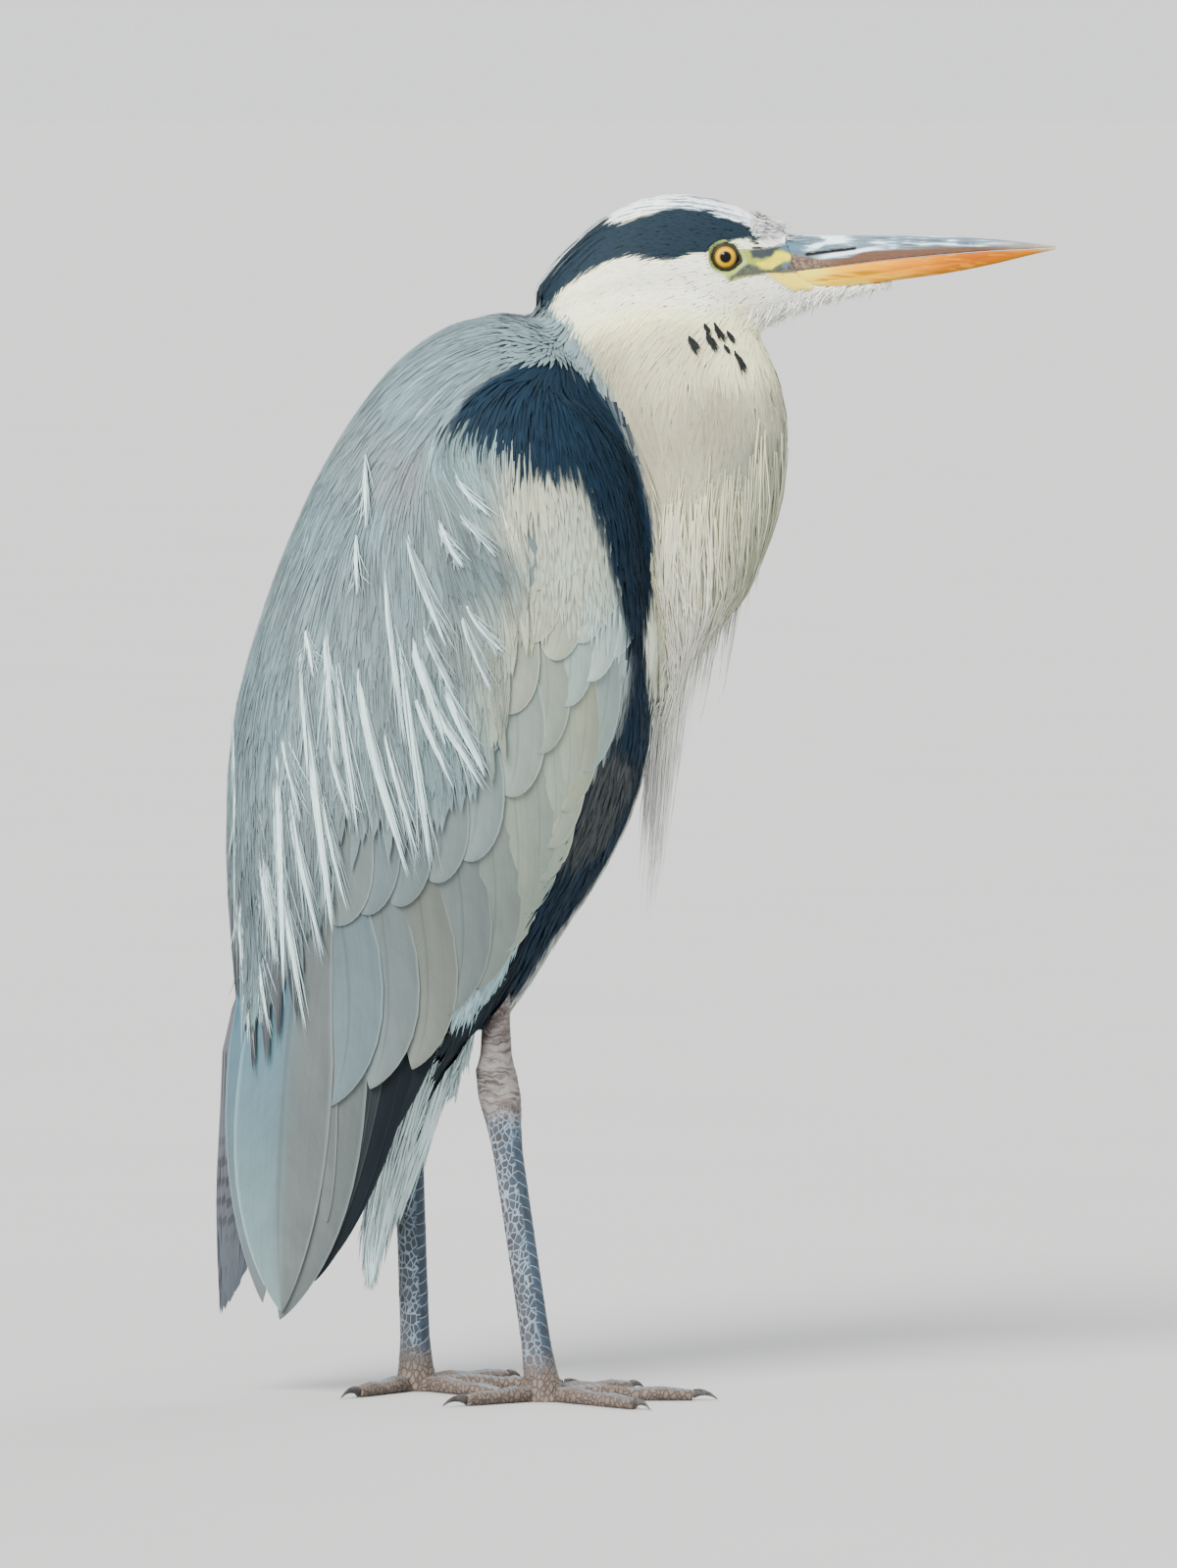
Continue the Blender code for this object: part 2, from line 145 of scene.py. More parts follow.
class Wire:
    # a node's output, used in sums like a number
    def __init__(self, paint, socket):
        self.paint = paint
        self.socket = socket

    def __add__(self, other):
        return self.paint.sum("ADD", self, other)

    def __radd__(self, other):
        return self.paint.sum("ADD", other, self)

    def __sub__(self, other):
        return self.paint.sum("SUBTRACT", self, other)

    def __rsub__(self, other):
        return self.paint.sum("SUBTRACT", other, self)

    def __mul__(self, other):
        return self.paint.sum("MULTIPLY", self, other)

    def __rmul__(self, other):
        return self.paint.sum("MULTIPLY", other, self)

    def __pow__(self, other):
        return self.paint.sum("POWER", self, other)

    def size(self):
        return self.paint.sum("ABSOLUTE", self)


class Paint:
    # one material and the nodes that feed its shader
    def __init__(self, name):
        self.material = bpy.data.materials.new(name)
        self.material.use_nodes = True
        self.tree = self.material.node_tree
        self.shader = self.tree.nodes["Principled BSDF"]

    def add(self, kind, settings=None, inputs=None, out=0):
        node = self.tree.nodes.new(kind)
        for key, value in (settings or {}).items():
            setattr(node, key, value)
        for key, value in (inputs or {}).items():
            self.feed(node.inputs[key], value)
        return Wire(self, node.outputs[out])

    def feed(self, socket, value):
        if isinstance(value, Wire):
            self.tree.links.new(value.socket, socket)
        else:
            socket.default_value = value

    def sum(self, kind, *values):
        return self.add("ShaderNodeMath", {"operation": kind}, dict(enumerate(values)))

    def place(self):
        return self.add("ShaderNodeTexCoord", out="Object")

    def split(self, vector):
        return [self.add("ShaderNodeSeparateXYZ", None, {0: vector}, out=k) for k in range(3)]

    def join(self, x, y, z):
        return self.add("ShaderNodeCombineXYZ", None, {0: x, 1: y, 2: z})

    def mix(self, share, first, second):
        return self.add("ShaderNodeMix", {"data_type": "RGBA"}, {0: share, 6: first, 7: second}, out=2)

    def shade(self, colour, amount):
        return self.add("ShaderNodeVectorMath", {"operation": "SCALE"}, {0: colour, "Scale": amount})

    def noise(self, vector, scale, detail=2.0, rough=0.5):
        return self.add("ShaderNodeTexNoise", None,
                        {"Vector": vector, "Scale": scale, "Detail": detail, "Roughness": rough})

    def cells(self, vector, scale, feature="DISTANCE_TO_EDGE", out="Distance"):
        return self.add("ShaderNodeTexVoronoi", {"feature": feature},
                        {"Vector": vector, "Scale": scale}, out=out)

    def step(self, value, low, high):
        return self.add("ShaderNodeMapRange", {"interpolation_type": "SMOOTHSTEP"},
                        {"Value": value, "From Min": low, "From Max": high})

    def seams(self, bands, low, high):
        # thin lines between bands one unit wide
        saw = bands - self.sum("FLOOR", bands)
        return 1.0 - self.step((saw - 0.5).size() * -1.0 + 0.5, low, high)

    def attribute(self, name, out="Vector"):
        return self.add("ShaderNodeAttribute", {"attribute_name": name}, out=out)

    def bump(self, height, distance, strength):
        self.feed(self.shader.inputs["Normal"], self.add(
            "ShaderNodeBump", None, {"Height": height, "Distance": distance, "Strength": strength}))

    def finish(self, colour, rough, gloss=0.5):
        for name, value in (("Base Color", colour), ("Roughness", rough), ("Specular IOR Level", gloss)):
            self.feed(self.shader.inputs[name], value)
        return self.material


softFeather = {
    "contrast": 0.30, "pitch": 900, "slope": 0.6,  # streaks: contrast, number per metre, slope of the barbs
    "edge": 1.4, "edgeShare": 0.0, "edgeStart": 0.9,  # pale edge: brightness, share and start
    "shaft": 0.0, "bars": 0.0, "rough": 0.8,
}
stiffFeather = dict(softFeather, contrast=0.24, pitch=1300, slope=1.3, edge=2.2, edgeShare=0.45,
                    shaft=0.30, rough=0.7)
featherLooks = {
    "down": softFeather,
    "vane": stiffFeather,
    "plume": dict(softFeather, contrast=0.12, slope=0.5, rough=0.7),
    "tail": dict(stiffFeather, edge=1.9, edgeStart=0.93, shaft=0.4, rough=0.65, bars=0.45),
}


def featherPaint(kind):
    look = featherLooks[kind]
    paint = Paint(kind + "Paint")
    tint = paint.attribute("tint", "Color")
    across, along, chance = paint.split(paint.attribute("lay"))
    edge, share, _ = paint.split(paint.attribute("form"))
    reach = along - across.size() * look["slope"]
    threads = paint.noise(paint.join(reach * look["pitch"], across * 260, chance * 97), 1.0, 2.5, 0.6)
    mottle = paint.noise(paint.join(reach * 70, across * 90, chance * 31), 1.0, 2.0)
    light = 1.0 + (threads - 0.5) * look["contrast"] + (mottle - 0.5) * 0.30
    if look["shaft"]:
        stripes = paint.noise(paint.join(across * 800, along * 22, chance * 53), 1.0, 3.0, 0.6)
        light = light + (stripes - 0.5) * 0.26
    if look["bars"]:
        z = paint.split(paint.place())[2]
        waves = paint.sum("SINE", (z + across * 0.9 + mottle * 0.006) * 620)
        barred = paint.step(z, 0.070, 0.092) * (1.0 - paint.step(z, 0.112, 0.138))
        light = light - paint.step(waves, -0.2, 0.7) * look["bars"] * barred
    colour = paint.shade(tint, light)
    if look["edgeShare"]:
        rim = paint.step(edge, look["edgeStart"], 0.99) * look["edgeShare"]
        colour = paint.mix(rim, colour, paint.shade(tint, look["edge"]))
    if look["shaft"]:
        shaft = (1.0 - paint.step(edge, 0.015, 0.07)) * look["shaft"] * (1.0 - paint.step(share, 0.75, 1.0))
        colour = paint.mix(shaft, colour, paint.shade(tint, 0.45))
    paint.bump(threads, 0.0002, 0.35)
    return paint.finish(colour, look["rough"], 0.12)


def skinPaint():
    # bare skin between the feathers, coloured by its markings
    paint = Paint("skinPaint")
    tint = paint.attribute("tint", "Color")
    pores = paint.noise(paint.place(), 900.0, 3.0)
    paint.bump(pores, 0.0002, 0.5)
    return paint.finish(paint.shade(tint, 0.86 + pores * 0.28), 0.45 + pores * 0.3)


legTones = {
    "plate": (0.13, 0.15, 0.18),
    "plateBlue": (0.075, 0.12, 0.17),
    "lilac": (0.17, 0.15, 0.155),
    "joint": (0.44, 0.42, 0.41),
    "jointDark": (0.15, 0.125, 0.12),
    "rose": (0.36, 0.26, 0.22),
    "seam": (0.52, 0.57, 0.62),
    "toe": (0.33, 0.27, 0.23),
    "toeBlue": (0.34, 0.39, 0.44),
    "toeSeam": (0.14, 0.11, 0.10),
}
legPlan = {
    "scales": 400.0,  # scales and front plates per metre
    "frontPlates": 170.0,
    "toePlates": 260.0,
    "toesEnd": (0.013, 0.030),  # heights between which one kind of skin gives way to the next
    "jointStart": (0.135, 0.149),
    "shinStart": (0.16, 0.185),
}


def legPaint():
    paint = Paint("legPaint")
    place = paint.place()
    x, y, z = paint.split(place)
    normal = paint.split(paint.add("ShaderNodeNewGeometry", out="Normal"))
    ends = {name: ink(tone) for name, tone in legTones.items()}
    wobble = paint.noise(place, 140.0, 3.0)
    dirt = paint.noise(place, 60.0, 3.0)

    # small scales round the shank, broad plates down its front
    stretched = paint.join(x + wobble * 0.0012, y, z * 0.66 + wobble * 0.0016)
    net = paint.cells(stretched, legPlan["scales"])
    seam = 1.0 - paint.step(net, 0.03, 0.13 + dirt * 0.06)
    cellTone = paint.split(paint.cells(stretched, legPlan["scales"], "F1", "Color"))[0]
    plateSeam = paint.seams((z + wobble * 0.003 - (y * y) * 18) * legPlan["frontPlates"], 0.01, 0.09)
    front = paint.step(normal[0], 0.15, 0.35) * paint.step(z, 0.012, 0.02) * (1.0 - paint.step(z, 0.12, 0.14))
    lines = seam * (1.0 - front) + plateSeam * front
    shank = paint.mix(cellTone, ends["plate"], ends["plateBlue"])
    shank = paint.mix(front * 0.8, shank, ends["plateBlue"])
    shank = paint.mix((1.0 - paint.step(normal[0], -0.55, 0.1)) * 0.75, shank, ends["lilac"])
    shank = paint.shade(shank, 0.75 + cellTone * 0.6)
    colour = paint.mix(lines * (0.38 + dirt * 0.7), shank, ends["seam"])

    # the wrinkled heel joint and the shin above it
    atJoint = paint.step(z + wobble * 0.01, *legPlan["jointStart"])
    wrinkles = paint.noise(paint.join(x * 75, y * 75, (z + wobble * 0.008) * 520), 1.0, 4.0, 0.62)
    # the wrinkles' hollows dark: partly the skin's own folds, partly painted shade in the creases
    jointColour = paint.mix(paint.step(wrinkles, 0.38, 0.60), ends["jointDark"], ends["joint"])
    jointColour = paint.mix(paint.step(dirt, 0.5, 0.7) * 0.5, jointColour, ends["rose"])
    atShin = paint.step(z, *legPlan["shinStart"])
    jointColour = paint.mix(seam * 0.5 * atShin, jointColour, ends["jointDark"])
    colour = paint.mix(atJoint, colour, jointColour)

    # toes, with plates on top
    topped = paint.step(normal[2], 0.55, 0.85)
    toePlates = paint.seams((x + y) * legPlan["toePlates"] + wobble * 1.2, 0.02, 0.14)
    toeLines = seam * (1.0 - topped) + toePlates * topped
    # tops of the toes bluer and lighter: partly their plates' own colour, partly a painted highlight
    toeColour = paint.mix(topped * 0.7 * paint.step(dirt, 0.35, 0.6), ends["toe"], ends["toeBlue"])
    toeColour = paint.mix(toeLines * 0.75, toeColour, ends["toeSeam"])
    atToe = 1.0 - paint.step(z + wobble * 0.006, *legPlan["toesEnd"])
    colour = paint.mix(atToe, colour, toeColour)
    scales = (1.0 - lines) * (1.0 - atJoint) * (1.0 - atToe)
    paint.bump(scales + wrinkles * atJoint * 2.0 + (1.0 - toeLines) * atToe, 0.0006, 0.8)
    return paint.finish(paint.shade(colour, 0.68 + dirt * 0.62), 0.46 + wobble * 0.28, 0.3)


claw = {"grain": 0.0004, "dark": (0.065, 0.058, 0.055), "pale": (0.20, 0.18, 0.165)}


def clawPaint():
    paint = Paint("clawPaint")
    place = paint.place()
    growth = paint.noise(place, 420.0, 4.0, 0.6)
    wear = paint.noise(place, 90.0, 2.0)
    colour = paint.mix(paint.step(growth, 0.35, 0.7), ink(claw["dark"]), ink(claw["pale"]))
    paint.bump(growth, 0.0002, 0.5)
    return paint.finish(paint.shade(colour, 0.7 + wear * 0.6), 0.32 + growth * 0.25, 0.35)


def deselect():
    if bpy.context.object and bpy.context.object.mode != "OBJECT":
        bpy.ops.object.mode_set(mode="OBJECT")
    bpy.ops.object.select_all(action="DESELECT")


def pick(obj):
    deselect()
    obj.select_set(True)
    bpy.context.view_layer.objects.active = obj


def editAll(operator, **settings):
    # one edit-mode operator on the whole of the active mesh
    bpy.ops.object.mode_set(mode="EDIT")
    bpy.ops.mesh.select_all(action="SELECT")
    operator(**settings)
    bpy.ops.object.mode_set(mode="OBJECT")


def copyOf(nodes, name, swell=0.0):
    # one mesh from copies of CAD nodes, each closed shell swollen a little
    deselect()
    for node in nodes:
        twin = bpy.data.objects.new(node + "Copy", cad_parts[node].data.copy())
        bpy.context.scene.collection.objects.link(twin)
        twin.select_set(True)
        bpy.context.view_layer.objects.active = twin
    if len(nodes) > 1:
        bpy.ops.object.join()
    made = bpy.context.object
    made.name = name
    made.data.materials.clear()
    editAll(bpy.ops.mesh.remove_doubles, threshold=0.00001)
    if swell:
        editAll(bpy.ops.transform.shrink_fatten, value=swell)
    return made


def finishWith(obj, kind, **settings):
    pick(obj)
    modifier = obj.modifiers.new(kind.lower(), kind)
    for key, value in settings.items():
        setattr(modifier, key, value)
    bpy.ops.object.modifier_apply(modifier=modifier.name)


def remesh(obj, grain, smoothing):
    # an even mesh of grain-sized faces, its steps smoothed away
    finishWith(obj, "REMESH", mode="VOXEL", voxel_size=grain)
    finishWith(obj, "SMOOTH", factor=0.5, iterations=smoothing)


def weldOn(obj, part):
    finishWith(obj, "BOOLEAN", operation="UNION", solver="MANIFOLD", object=part)
    bpy.data.objects.remove(part)


def readVectors(rows, key):
    held = np.empty(len(rows) * 3, np.float32)
    rows.foreach_get(key, held)
    return held.reshape(-1, 3).astype(float)


def spots(obj):
    return readVectors(obj.data.vertices, "co")


def setSpots(obj, places):
    obj.data.vertices.foreach_set("co", places.astype(np.float32).ravel())
    obj.data.update()


def vertexNormals(obj):
    return readVectors(obj.data.vertex_normals, "vector")


latticeSize = 97
lattice = np.random.default_rng(5).random((latticeSize, latticeSize))


def cloud(x, z, wide, tall, level=0):
    # soft random light and dark, about wide by tall in size
    u, v = x / wide + level * 17.3, z / tall + level * 9.1
    i, j = np.floor(u).astype(int), np.floor(v).astype(int)
    u, v = smoothstep(0, 1, u - i), smoothstep(0, 1, v - j)
    (a, b), (c, d) = ((k % latticeSize, (k + 1) % latticeSize) for k in (i, j))
    low = lattice[a, c] * (1 - u) + lattice[b, c] * u
    high = lattice[a, d] * (1 - u) + lattice[b, d] * u
    return low * (1 - v) + high * v


def inside(name, x, z, soft):
    # share, 0 to 1, by which places in side view lie inside an outline, blurred over soft
    line = np.array(outlines[name], float)
    ends = np.roll(line, -1, axis=0)
    distance = np.full(len(x), 1e9)
    crossings = np.zeros(len(x), int)
    for (ax, az), (bx, bz) in zip(line, ends):
        run = np.array((bx - ax, bz - az))
        t = np.clip(((x - ax) * run[0] + (z - az) * run[1]) / max(run @ run, 1e-12), 0, 1)
        distance = np.minimum(distance, np.hypot(x - ax - t * run[0], z - az - t * run[1]))
        over = (az > z) != (bz > z)
        reach = ax + (z - az) / (bz - az if bz != az else 1e-12) * (bx - ax)
        crossings += over & (x < reach)
    signed = np.where(crossings % 2 == 1, distance, -distance)
    return smoothstep(-soft, soft, signed)


fleshNodes = {
    "body": ["trunk", "wing_right", "wing_left", "neck_upper", "neck_lower", "head"],
    "legs": [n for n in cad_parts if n.startswith(("shin", "shank", "toe"))],
}


def keepOuter(obj):
    # drops closed hollows left inside a remeshed form
    pick(obj)
    editAll(bpy.ops.mesh.separate, type="LOOSE")
    pieces = sorted(bpy.context.selected_objects, key=lambda piece: len(piece.data.vertices))
    name = obj.name
    for piece in pieces[:-1]:
        bpy.data.objects.remove(piece)
    pieces[-1].name = name
    return pieces[-1]


def shrink(obj, depth):
    pick(obj)
    editAll(bpy.ops.transform.shrink_fatten, value=-depth)


def taperBreast(obj):
    # the foot of the neck narrows towards the hanging plumes
    places = spots(obj)
    x, y, z = (places / mm).T
    share = smoothstep(394, 340, z) * smoothstep(6, 14, x)
    places[:, 0] -= (x - 8) * 0.42 * share * mm
    places[:, 1] *= 1 - 0.35 * share
    setSpots(obj, places)


hulls = {
    # size of the mesh's faces, crevices that are filled and what the form stands out at the end
    "coatHull": {"nodes": fleshNodes["body"], "grain": 0.0026, "closing": 0.0030, "swell": 0.0007},
    "faceHull": {"nodes": ["head", "neck_upper"], "grain": 0.0013, "closing": 0.0012, "swell": 0.0003},
}


def makeHull(name):
    # the outer form of the plumage, only used to lay feathers on
    plan = hulls[name]
    hull = copyOf(plan["nodes"], name, plan["closing"])
    remesh(hull, plan["grain"], 5)
    hull = keepOuter(hull)
    shrink(hull, plan["closing"] - plan["swell"])
    finishWith(hull, "SMOOTH", factor=0.5, iterations=2)
    return hull


eyeLow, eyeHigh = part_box("eye_right")
eye = {
    "centre": (eyeLow + eyeHigh) / 2,
    "radius": (eyeHigh.z - eyeLow.z) / 2,
    "iris": 0.0052,
    "pupil": 0.0027,
    "corner": 0.20,
    "cornerTurn": -13.0,
    "cornerWidth": 20.0,
    "cornea": 0.0006,
    "lid": (6.1, 0.66),
    "amber": (0.50, 0.34, 0.02),
    "yellow": (0.74, 0.60, 0.03),
    "outerAmber": (0.50, 0.33, 0.02),
    "black": (0.004, 0.004, 0.005),
}


tones = {
    "crown": (0.030, 0.062, 0.092),
    "crownPale": (0.90, 0.95, 0.95),
    "crownGrey": (0.20, 0.28, 0.35),
    "navy": (0.015, 0.050, 0.092),
    "navyGrey": (0.020, 0.032, 0.042),
    "slate": (0.030, 0.045, 0.056),
    "slateGrey": (0.105, 0.125, 0.130),
    "wingGrey": (0.290, 0.325, 0.325),
    "wingBlue": (0.210, 0.340, 0.420),
    "wingPale": (0.380, 0.450, 0.450),
    "tail": (0.150, 0.175, 0.205),
    "tailRoot": (0.25, 0.25, 0.27),
    "ash": (0.120, 0.138, 0.145),
    "paleGrey": (0.46, 0.52, 0.53),
    "plume": (0.80, 0.91, 0.94),
    "offWhite": (0.66, 0.665, 0.60),
    "tuft": (0.80, 0.866, 0.912),
    "belly": (0.62, 0.64, 0.62),
    "lore": (0.50, 0.56, 0.22),
    "loreYellow": (0.82, 0.77, 0.20),
    "loreDark": (0.055, 0.075, 0.092),
    "loreBlue": (0.20, 0.30, 0.38),
    "gapeBrown": (0.26, 0.22, 0.18),
    "ring": (0.54, 0.60, 0.32),
    "lid": (0.022, 0.020, 0.018),
    "gapeSkin": (0.91, 0.77, 0.38),
    "chin": (0.88, 0.90, 0.82),
    "foreheadGrey": (0.55, 0.58, 0.55),
    "foreheadPale": (0.90, 0.92, 0.88),
    "throatMark": (0.050, 0.058, 0.062),
    "napePale": (0.45, 0.50, 0.52),
    "napeDark": (0.045, 0.080, 0.110),
    "plumeEnd": (0.90, 0.93, 0.91),
    "fringe": (0.56, 0.64, 0.66),
    "darkEnd": (0.15, 0.165, 0.18),
}
# soft tones of wing and mantle, then of head and neck: a place in side view in millimetres and its colour.
# The darker ones, low on the wing and on the middle of the neck, hold painted shade as well as the plumage's
# own tone
wingTones = [
    (-60, 512, 0.37, 0.44, 0.46), (-100, 480, 0.37, 0.44, 0.46), (-140, 420, 0.36, 0.43, 0.455),
    (-112, 442, 0.38, 0.42, 0.43), (-84, 446, 0.37, 0.46, 0.47), (-74, 400, 0.26, 0.33, 0.34),
    (-120, 380, 0.37, 0.43, 0.445), (-185, 330, 0.35, 0.42, 0.445), (-150, 330, 0.38, 0.44, 0.45),
    (-92, 330, 0.35, 0.42, 0.43), (-52, 430, 0.63, 0.64, 0.58), (-30, 400, 0.63, 0.66, 0.61),
    (-10, 370, 0.62, 0.68, 0.67), (-50, 380, 0.58, 0.60, 0.54), (-60, 335, 0.49, 0.52, 0.47),
    (-30, 330, 0.52, 0.58, 0.56), (-60, 290, 0.50, 0.54, 0.49), (-84, 300, 0.36, 0.43, 0.45),
    (-40, 280, 0.56, 0.59, 0.53), (-68, 240, 0.50, 0.54, 0.50), (-100, 240, 0.30, 0.35, 0.355),
    (-110, 190, 0.35, 0.39, 0.38), (-140, 210, 0.31, 0.37, 0.39), (-150, 150, 0.33, 0.375, 0.37),
    (-182, 230, 0.28, 0.34, 0.36), (-170, 150, 0.34, 0.45, 0.50),
]
neckTones = [
    (0, 540, 0.93, 0.94, 0.81), (30, 535, 0.95, 0.96, 0.83), (-30, 524, 0.86, 0.85, 0.77),
    (-20, 490, 0.60, 0.585, 0.50), (20, 502, 0.70, 0.69, 0.61), (52, 500, 0.80, 0.80, 0.72),
    (40, 470, 0.55, 0.53, 0.46), (56, 448, 0.50, 0.515, 0.46), (0, 458, 0.57, 0.555, 0.48),
    (66, 470, 0.62, 0.62, 0.55), (40, 430, 0.60, 0.595, 0.52), (20, 400, 0.60, 0.60, 0.54),
    (60, 410, 0.66, 0.65, 0.59), (14, 368, 0.80, 0.82, 0.78), (40, 360, 0.60, 0.595, 0.51),
    (28, 332, 0.72, 0.74, 0.68), (72, 532, 0.95, 0.95, 0.83), (104, 536, 0.93, 0.94, 0.84),
]
# outlines in side view, in millimetres
outlines = {
    "crownStripe": [(62.5, 560.3), (55.8, 562.4), (50.4, 565), (41.6, 567.6), (33.6, 571.6), (24, 572.8),
                    (13, 571.5), (1, 568), (-11, 562), (-22, 553), (-31, 544), (-40, 533), (-46, 524),
                    (-44, 521), (-36, 532), (-29, 538), (-22, 542), (-15, 546), (-6, 549), (6, 548),
                    (16, 547), (27, 551.3), (36, 551.3), (43, 556), (47, 557.2), (54, 558), (56, 553.5),
                    (60, 553.5), (58, 558)],
    "crownTop": [(52, 563), (40, 566.5), (22, 570), (6, 570.5), (-4, 567.5), (-12, 564.5), (-16, 575),
                 (-10, 590), (60, 590), (84, 570), (80, 557), (62, 556)],
    "napeDark": [(-6, 566), (-13, 565), (-18, 590), (-62, 560), (-62, 512), (-46, 519), (-36, 532),
                 (-29, 538), (-22, 542), (-12, 550)],
    "neck": [(-46, 529), (-38, 521), (-27, 508), (-15, 490), (-5, 470), (2, 452), (7, 430), (9, 400),
             (4, 370), (6, 345), (14, 322), (40, 300), (90, 400), (90, 500), (150, 520), (150, 590),
             (-50, 590), (-60, 540)],
    "shoulder": [(-88, 472), (-80, 484), (-66, 494), (-52, 497), (-36, 497), (-22, 490), (-10, 476),
                 (0, 456), (7, 430), (9, 400), (6, 380), (-2, 352), (-5, 374), (-13, 404), (-19, 424),
                 (-27, 446), (-37, 443), (-46, 449), (-56, 446), (-66, 455), (-78, 464)],
    "shoulderRoots": [(-84, 476), (-78, 486), (-64, 495), (-50, 498), (-34, 498), (-20, 491), (-8, 477),
                      (1, 458), (7, 434), (8, 404), (5, 385), (-3, 386), (-8, 420), (-16, 442), (-27, 459),
                      (-40, 466), (-52, 466), (-64, 470), (-76, 475)],
    "scapular": [(-70, 480), (-46, 462), (-46, 300), (-66, 250), (-100, 215), (-150, 185), (-200, 165),
                 (-200, 330), (-160, 400), (-110, 440)],
    "wing": [(-62, 470), (-50, 462), (-58, 430), (-62, 392), (-64, 362), (-73, 336), (-92, 314),
             (-118, 304), (-144, 302), (-151, 262), (-166, 246), (-174, 212), (-196, 200), (-200, 20),
             (-120, 60), (-60, 190), (-28, 250), (-8, 300), (6, 370), (6, 420), (-8, 456), (-30, 468)],
    "belly": [(8, 380), (20, 330), (10, 280), (-10, 240), (-36, 212), (-56, 184), (-70, 160), (-100, 150),
              (-100, 176), (-80, 190), (-56, 200), (-34, 245), (-14, 300), (-5, 333), (0, 370)],
    "bellyGrey": [(-19, 303), (-8, 314), (0, 309), (-1, 296), (-8, 282), (-11, 273), (-22, 262), (-33, 261),
                  (-35, 264), (-28, 276)],
    "bareFace": [(36, 554), (43, 557.5), (48, 555), (51, 553), (56, 553), (63.4, 553.4), (69, 554.5),
                 (74, 556.5), (80, 560), (86, 560), (86, 532.6), (79.5, 533.2), (76.7, 531.9), (72, 535),
                 (62.5, 540.5), (54, 539.5), (49.5, 538.2), (45.4, 537), (42, 540)],
    "lorePatch": [(58, 546.4), (63, 547.4), (65.4, 549.6), (67.5, 551.4), (71, 551.4), (76, 549.4),
                  (74.6, 547.6), (70, 546), (65.6, 543.2), (62.5, 543), (59, 545)],
    "loreUpper": [(55, 552), (58, 553.6), (66, 554.6), (71, 553.6), (67, 551.8), (64.6, 549), (60.8, 548.2),
                  (56.5, 548.6)],
    "loreBlue": [(68, 554.2), (74, 556.5), (82, 560), (88, 560), (88, 545), (76, 541), (70, 544), (71, 546),
                 (76.4, 548.6), (76.4, 550.4), (71, 552)],
    "loreLower": [(44, 536.8), (47.5, 540.8), (51, 544.6), (54, 545.6), (57.4, 544.6), (62.5, 542.2),
                  (70, 545.4), (74.6, 541.8), (78, 541.4), (63.4, 540.8), (54, 540.4), (49.6, 539.6)],
    "gapeBrown": [(70, 542), (74, 546), (80, 549.4), (88, 549.6), (88, 541.6), (78, 541.2)],
    "gapeBase": [(62, 540.8), (86, 541.8), (86, 530), (76.3, 531), (70, 535.5)],
}


def tonePaint(name):
    return pigment(tones[name])


toneBlend = {"soft": 60.0, "power": 1.8}  # square millimetres, and how fast a tone fades


def softTones(table, x, z):
    spots = np.array([row[:2] for row in table], float)
    colours = np.array([row[2:] for row in table])
    gaps = (x[:, None] - spots[:, 0]) ** 2 + (z[:, None] - spots[:, 1]) ** 2
    weights = 1 / (gaps + toneBlend["soft"]) ** toneBlend["power"]
    return (weights @ colours) / weights.sum(1, keepdims=True)


def paintOver(colours, palette, layers):
    # layers of a tone and its share, laid over the colours in turn
    for tone, share in layers:
        colours = colours + (np.array(palette[tone]) - colours) * share[:, None]
    return colours


def between(low, high, soft, value):
    return smoothstep(low, low + soft, value) * smoothstep(high, high - soft, value)


def covertTips(x):
    # height of the lowest row of covert tips
    return np.interp(x, [row[0] for row in covertRows[0]], [row[1] for row in covertRows[0]])


def markings(places):
    # colour of the plumage at each place
    x, y, z = (places / mm).T
    wide = np.abs(y)
    colours = softTones(wingTones, x, z)
    streak = cloud(x + 0.25 * z, z, 2.2, 30, np.sign(y)) + 0.6 * cloud(x + 0.25 * z, z, 0.9, 18, 2) - 0.8
    colours = colours * (1 + 0.34 * streak * smoothstep(-44, -62, x))[:, None]
    under = smoothstep(24, 14, z - covertTips(x)) * smoothstep(48, 46, wide) * smoothstep(-158, -150, x)
    front = smoothstep(-4, 2, x - np.interp(z, *wingEdge)) * smoothstep(400, 385, z)
    shoulder = inside("shoulder", x + 3 * (cloud(x, z, 1.5, 9, 3) - 0.5), z, 2.0) * smoothstep(14, 20, wide)
    colours = paintOver(colours, tones, [
        ("slate", under),
        ("navy", front),
        ("ash", front * inside("bellyGrey", x, z, 3)),
        ("belly", front * smoothstep(17, 12, wide) * smoothstep(345, 325, z)),
        ("navy", shoulder),
    ])
    neck = inside("neck", x, z, 1.0)
    colours = colours + (softTones(neckTones, x, z) - colours) * neck[:, None]
    line = smoothstep(2.6, 1.4, np.abs(wide - 8)) * (x > 55)
    patches = np.maximum(between(440, 460, 4, z), between(463, 476, 3, z))
    patches = np.maximum(patches, between(424, 436, 4, z) * 0.7)
    head = smoothstep(518, 522, z)
    wave = cloud(x + z, z, 9, 1.0, 5) - 0.5
    stripe = inside("crownStripe", x + 5 * wave, z + 2.0 * wave, 0.7) * head
    top = inside("crownTop", x, z, 1.0) * head
    nape = inside("napeDark", x + 2 * wave, z + 2 * wave, 0.8) * head
    lines = smoothstep(0.5, 0.75, cloud(x + z, y + z, 16, 0.9, 6)) * top
    return pigment(paintOver(colours, tones, [
        ("navy", line * patches * neck * (cloud(y, z, 1.1, 7, 4) > 0.34)),
        ("crownPale", top),
        ("crownGrey", lines * 0.6 * smoothstep(60, 45, x)),
        ("crown", np.maximum(stripe, nape)),
    ]))


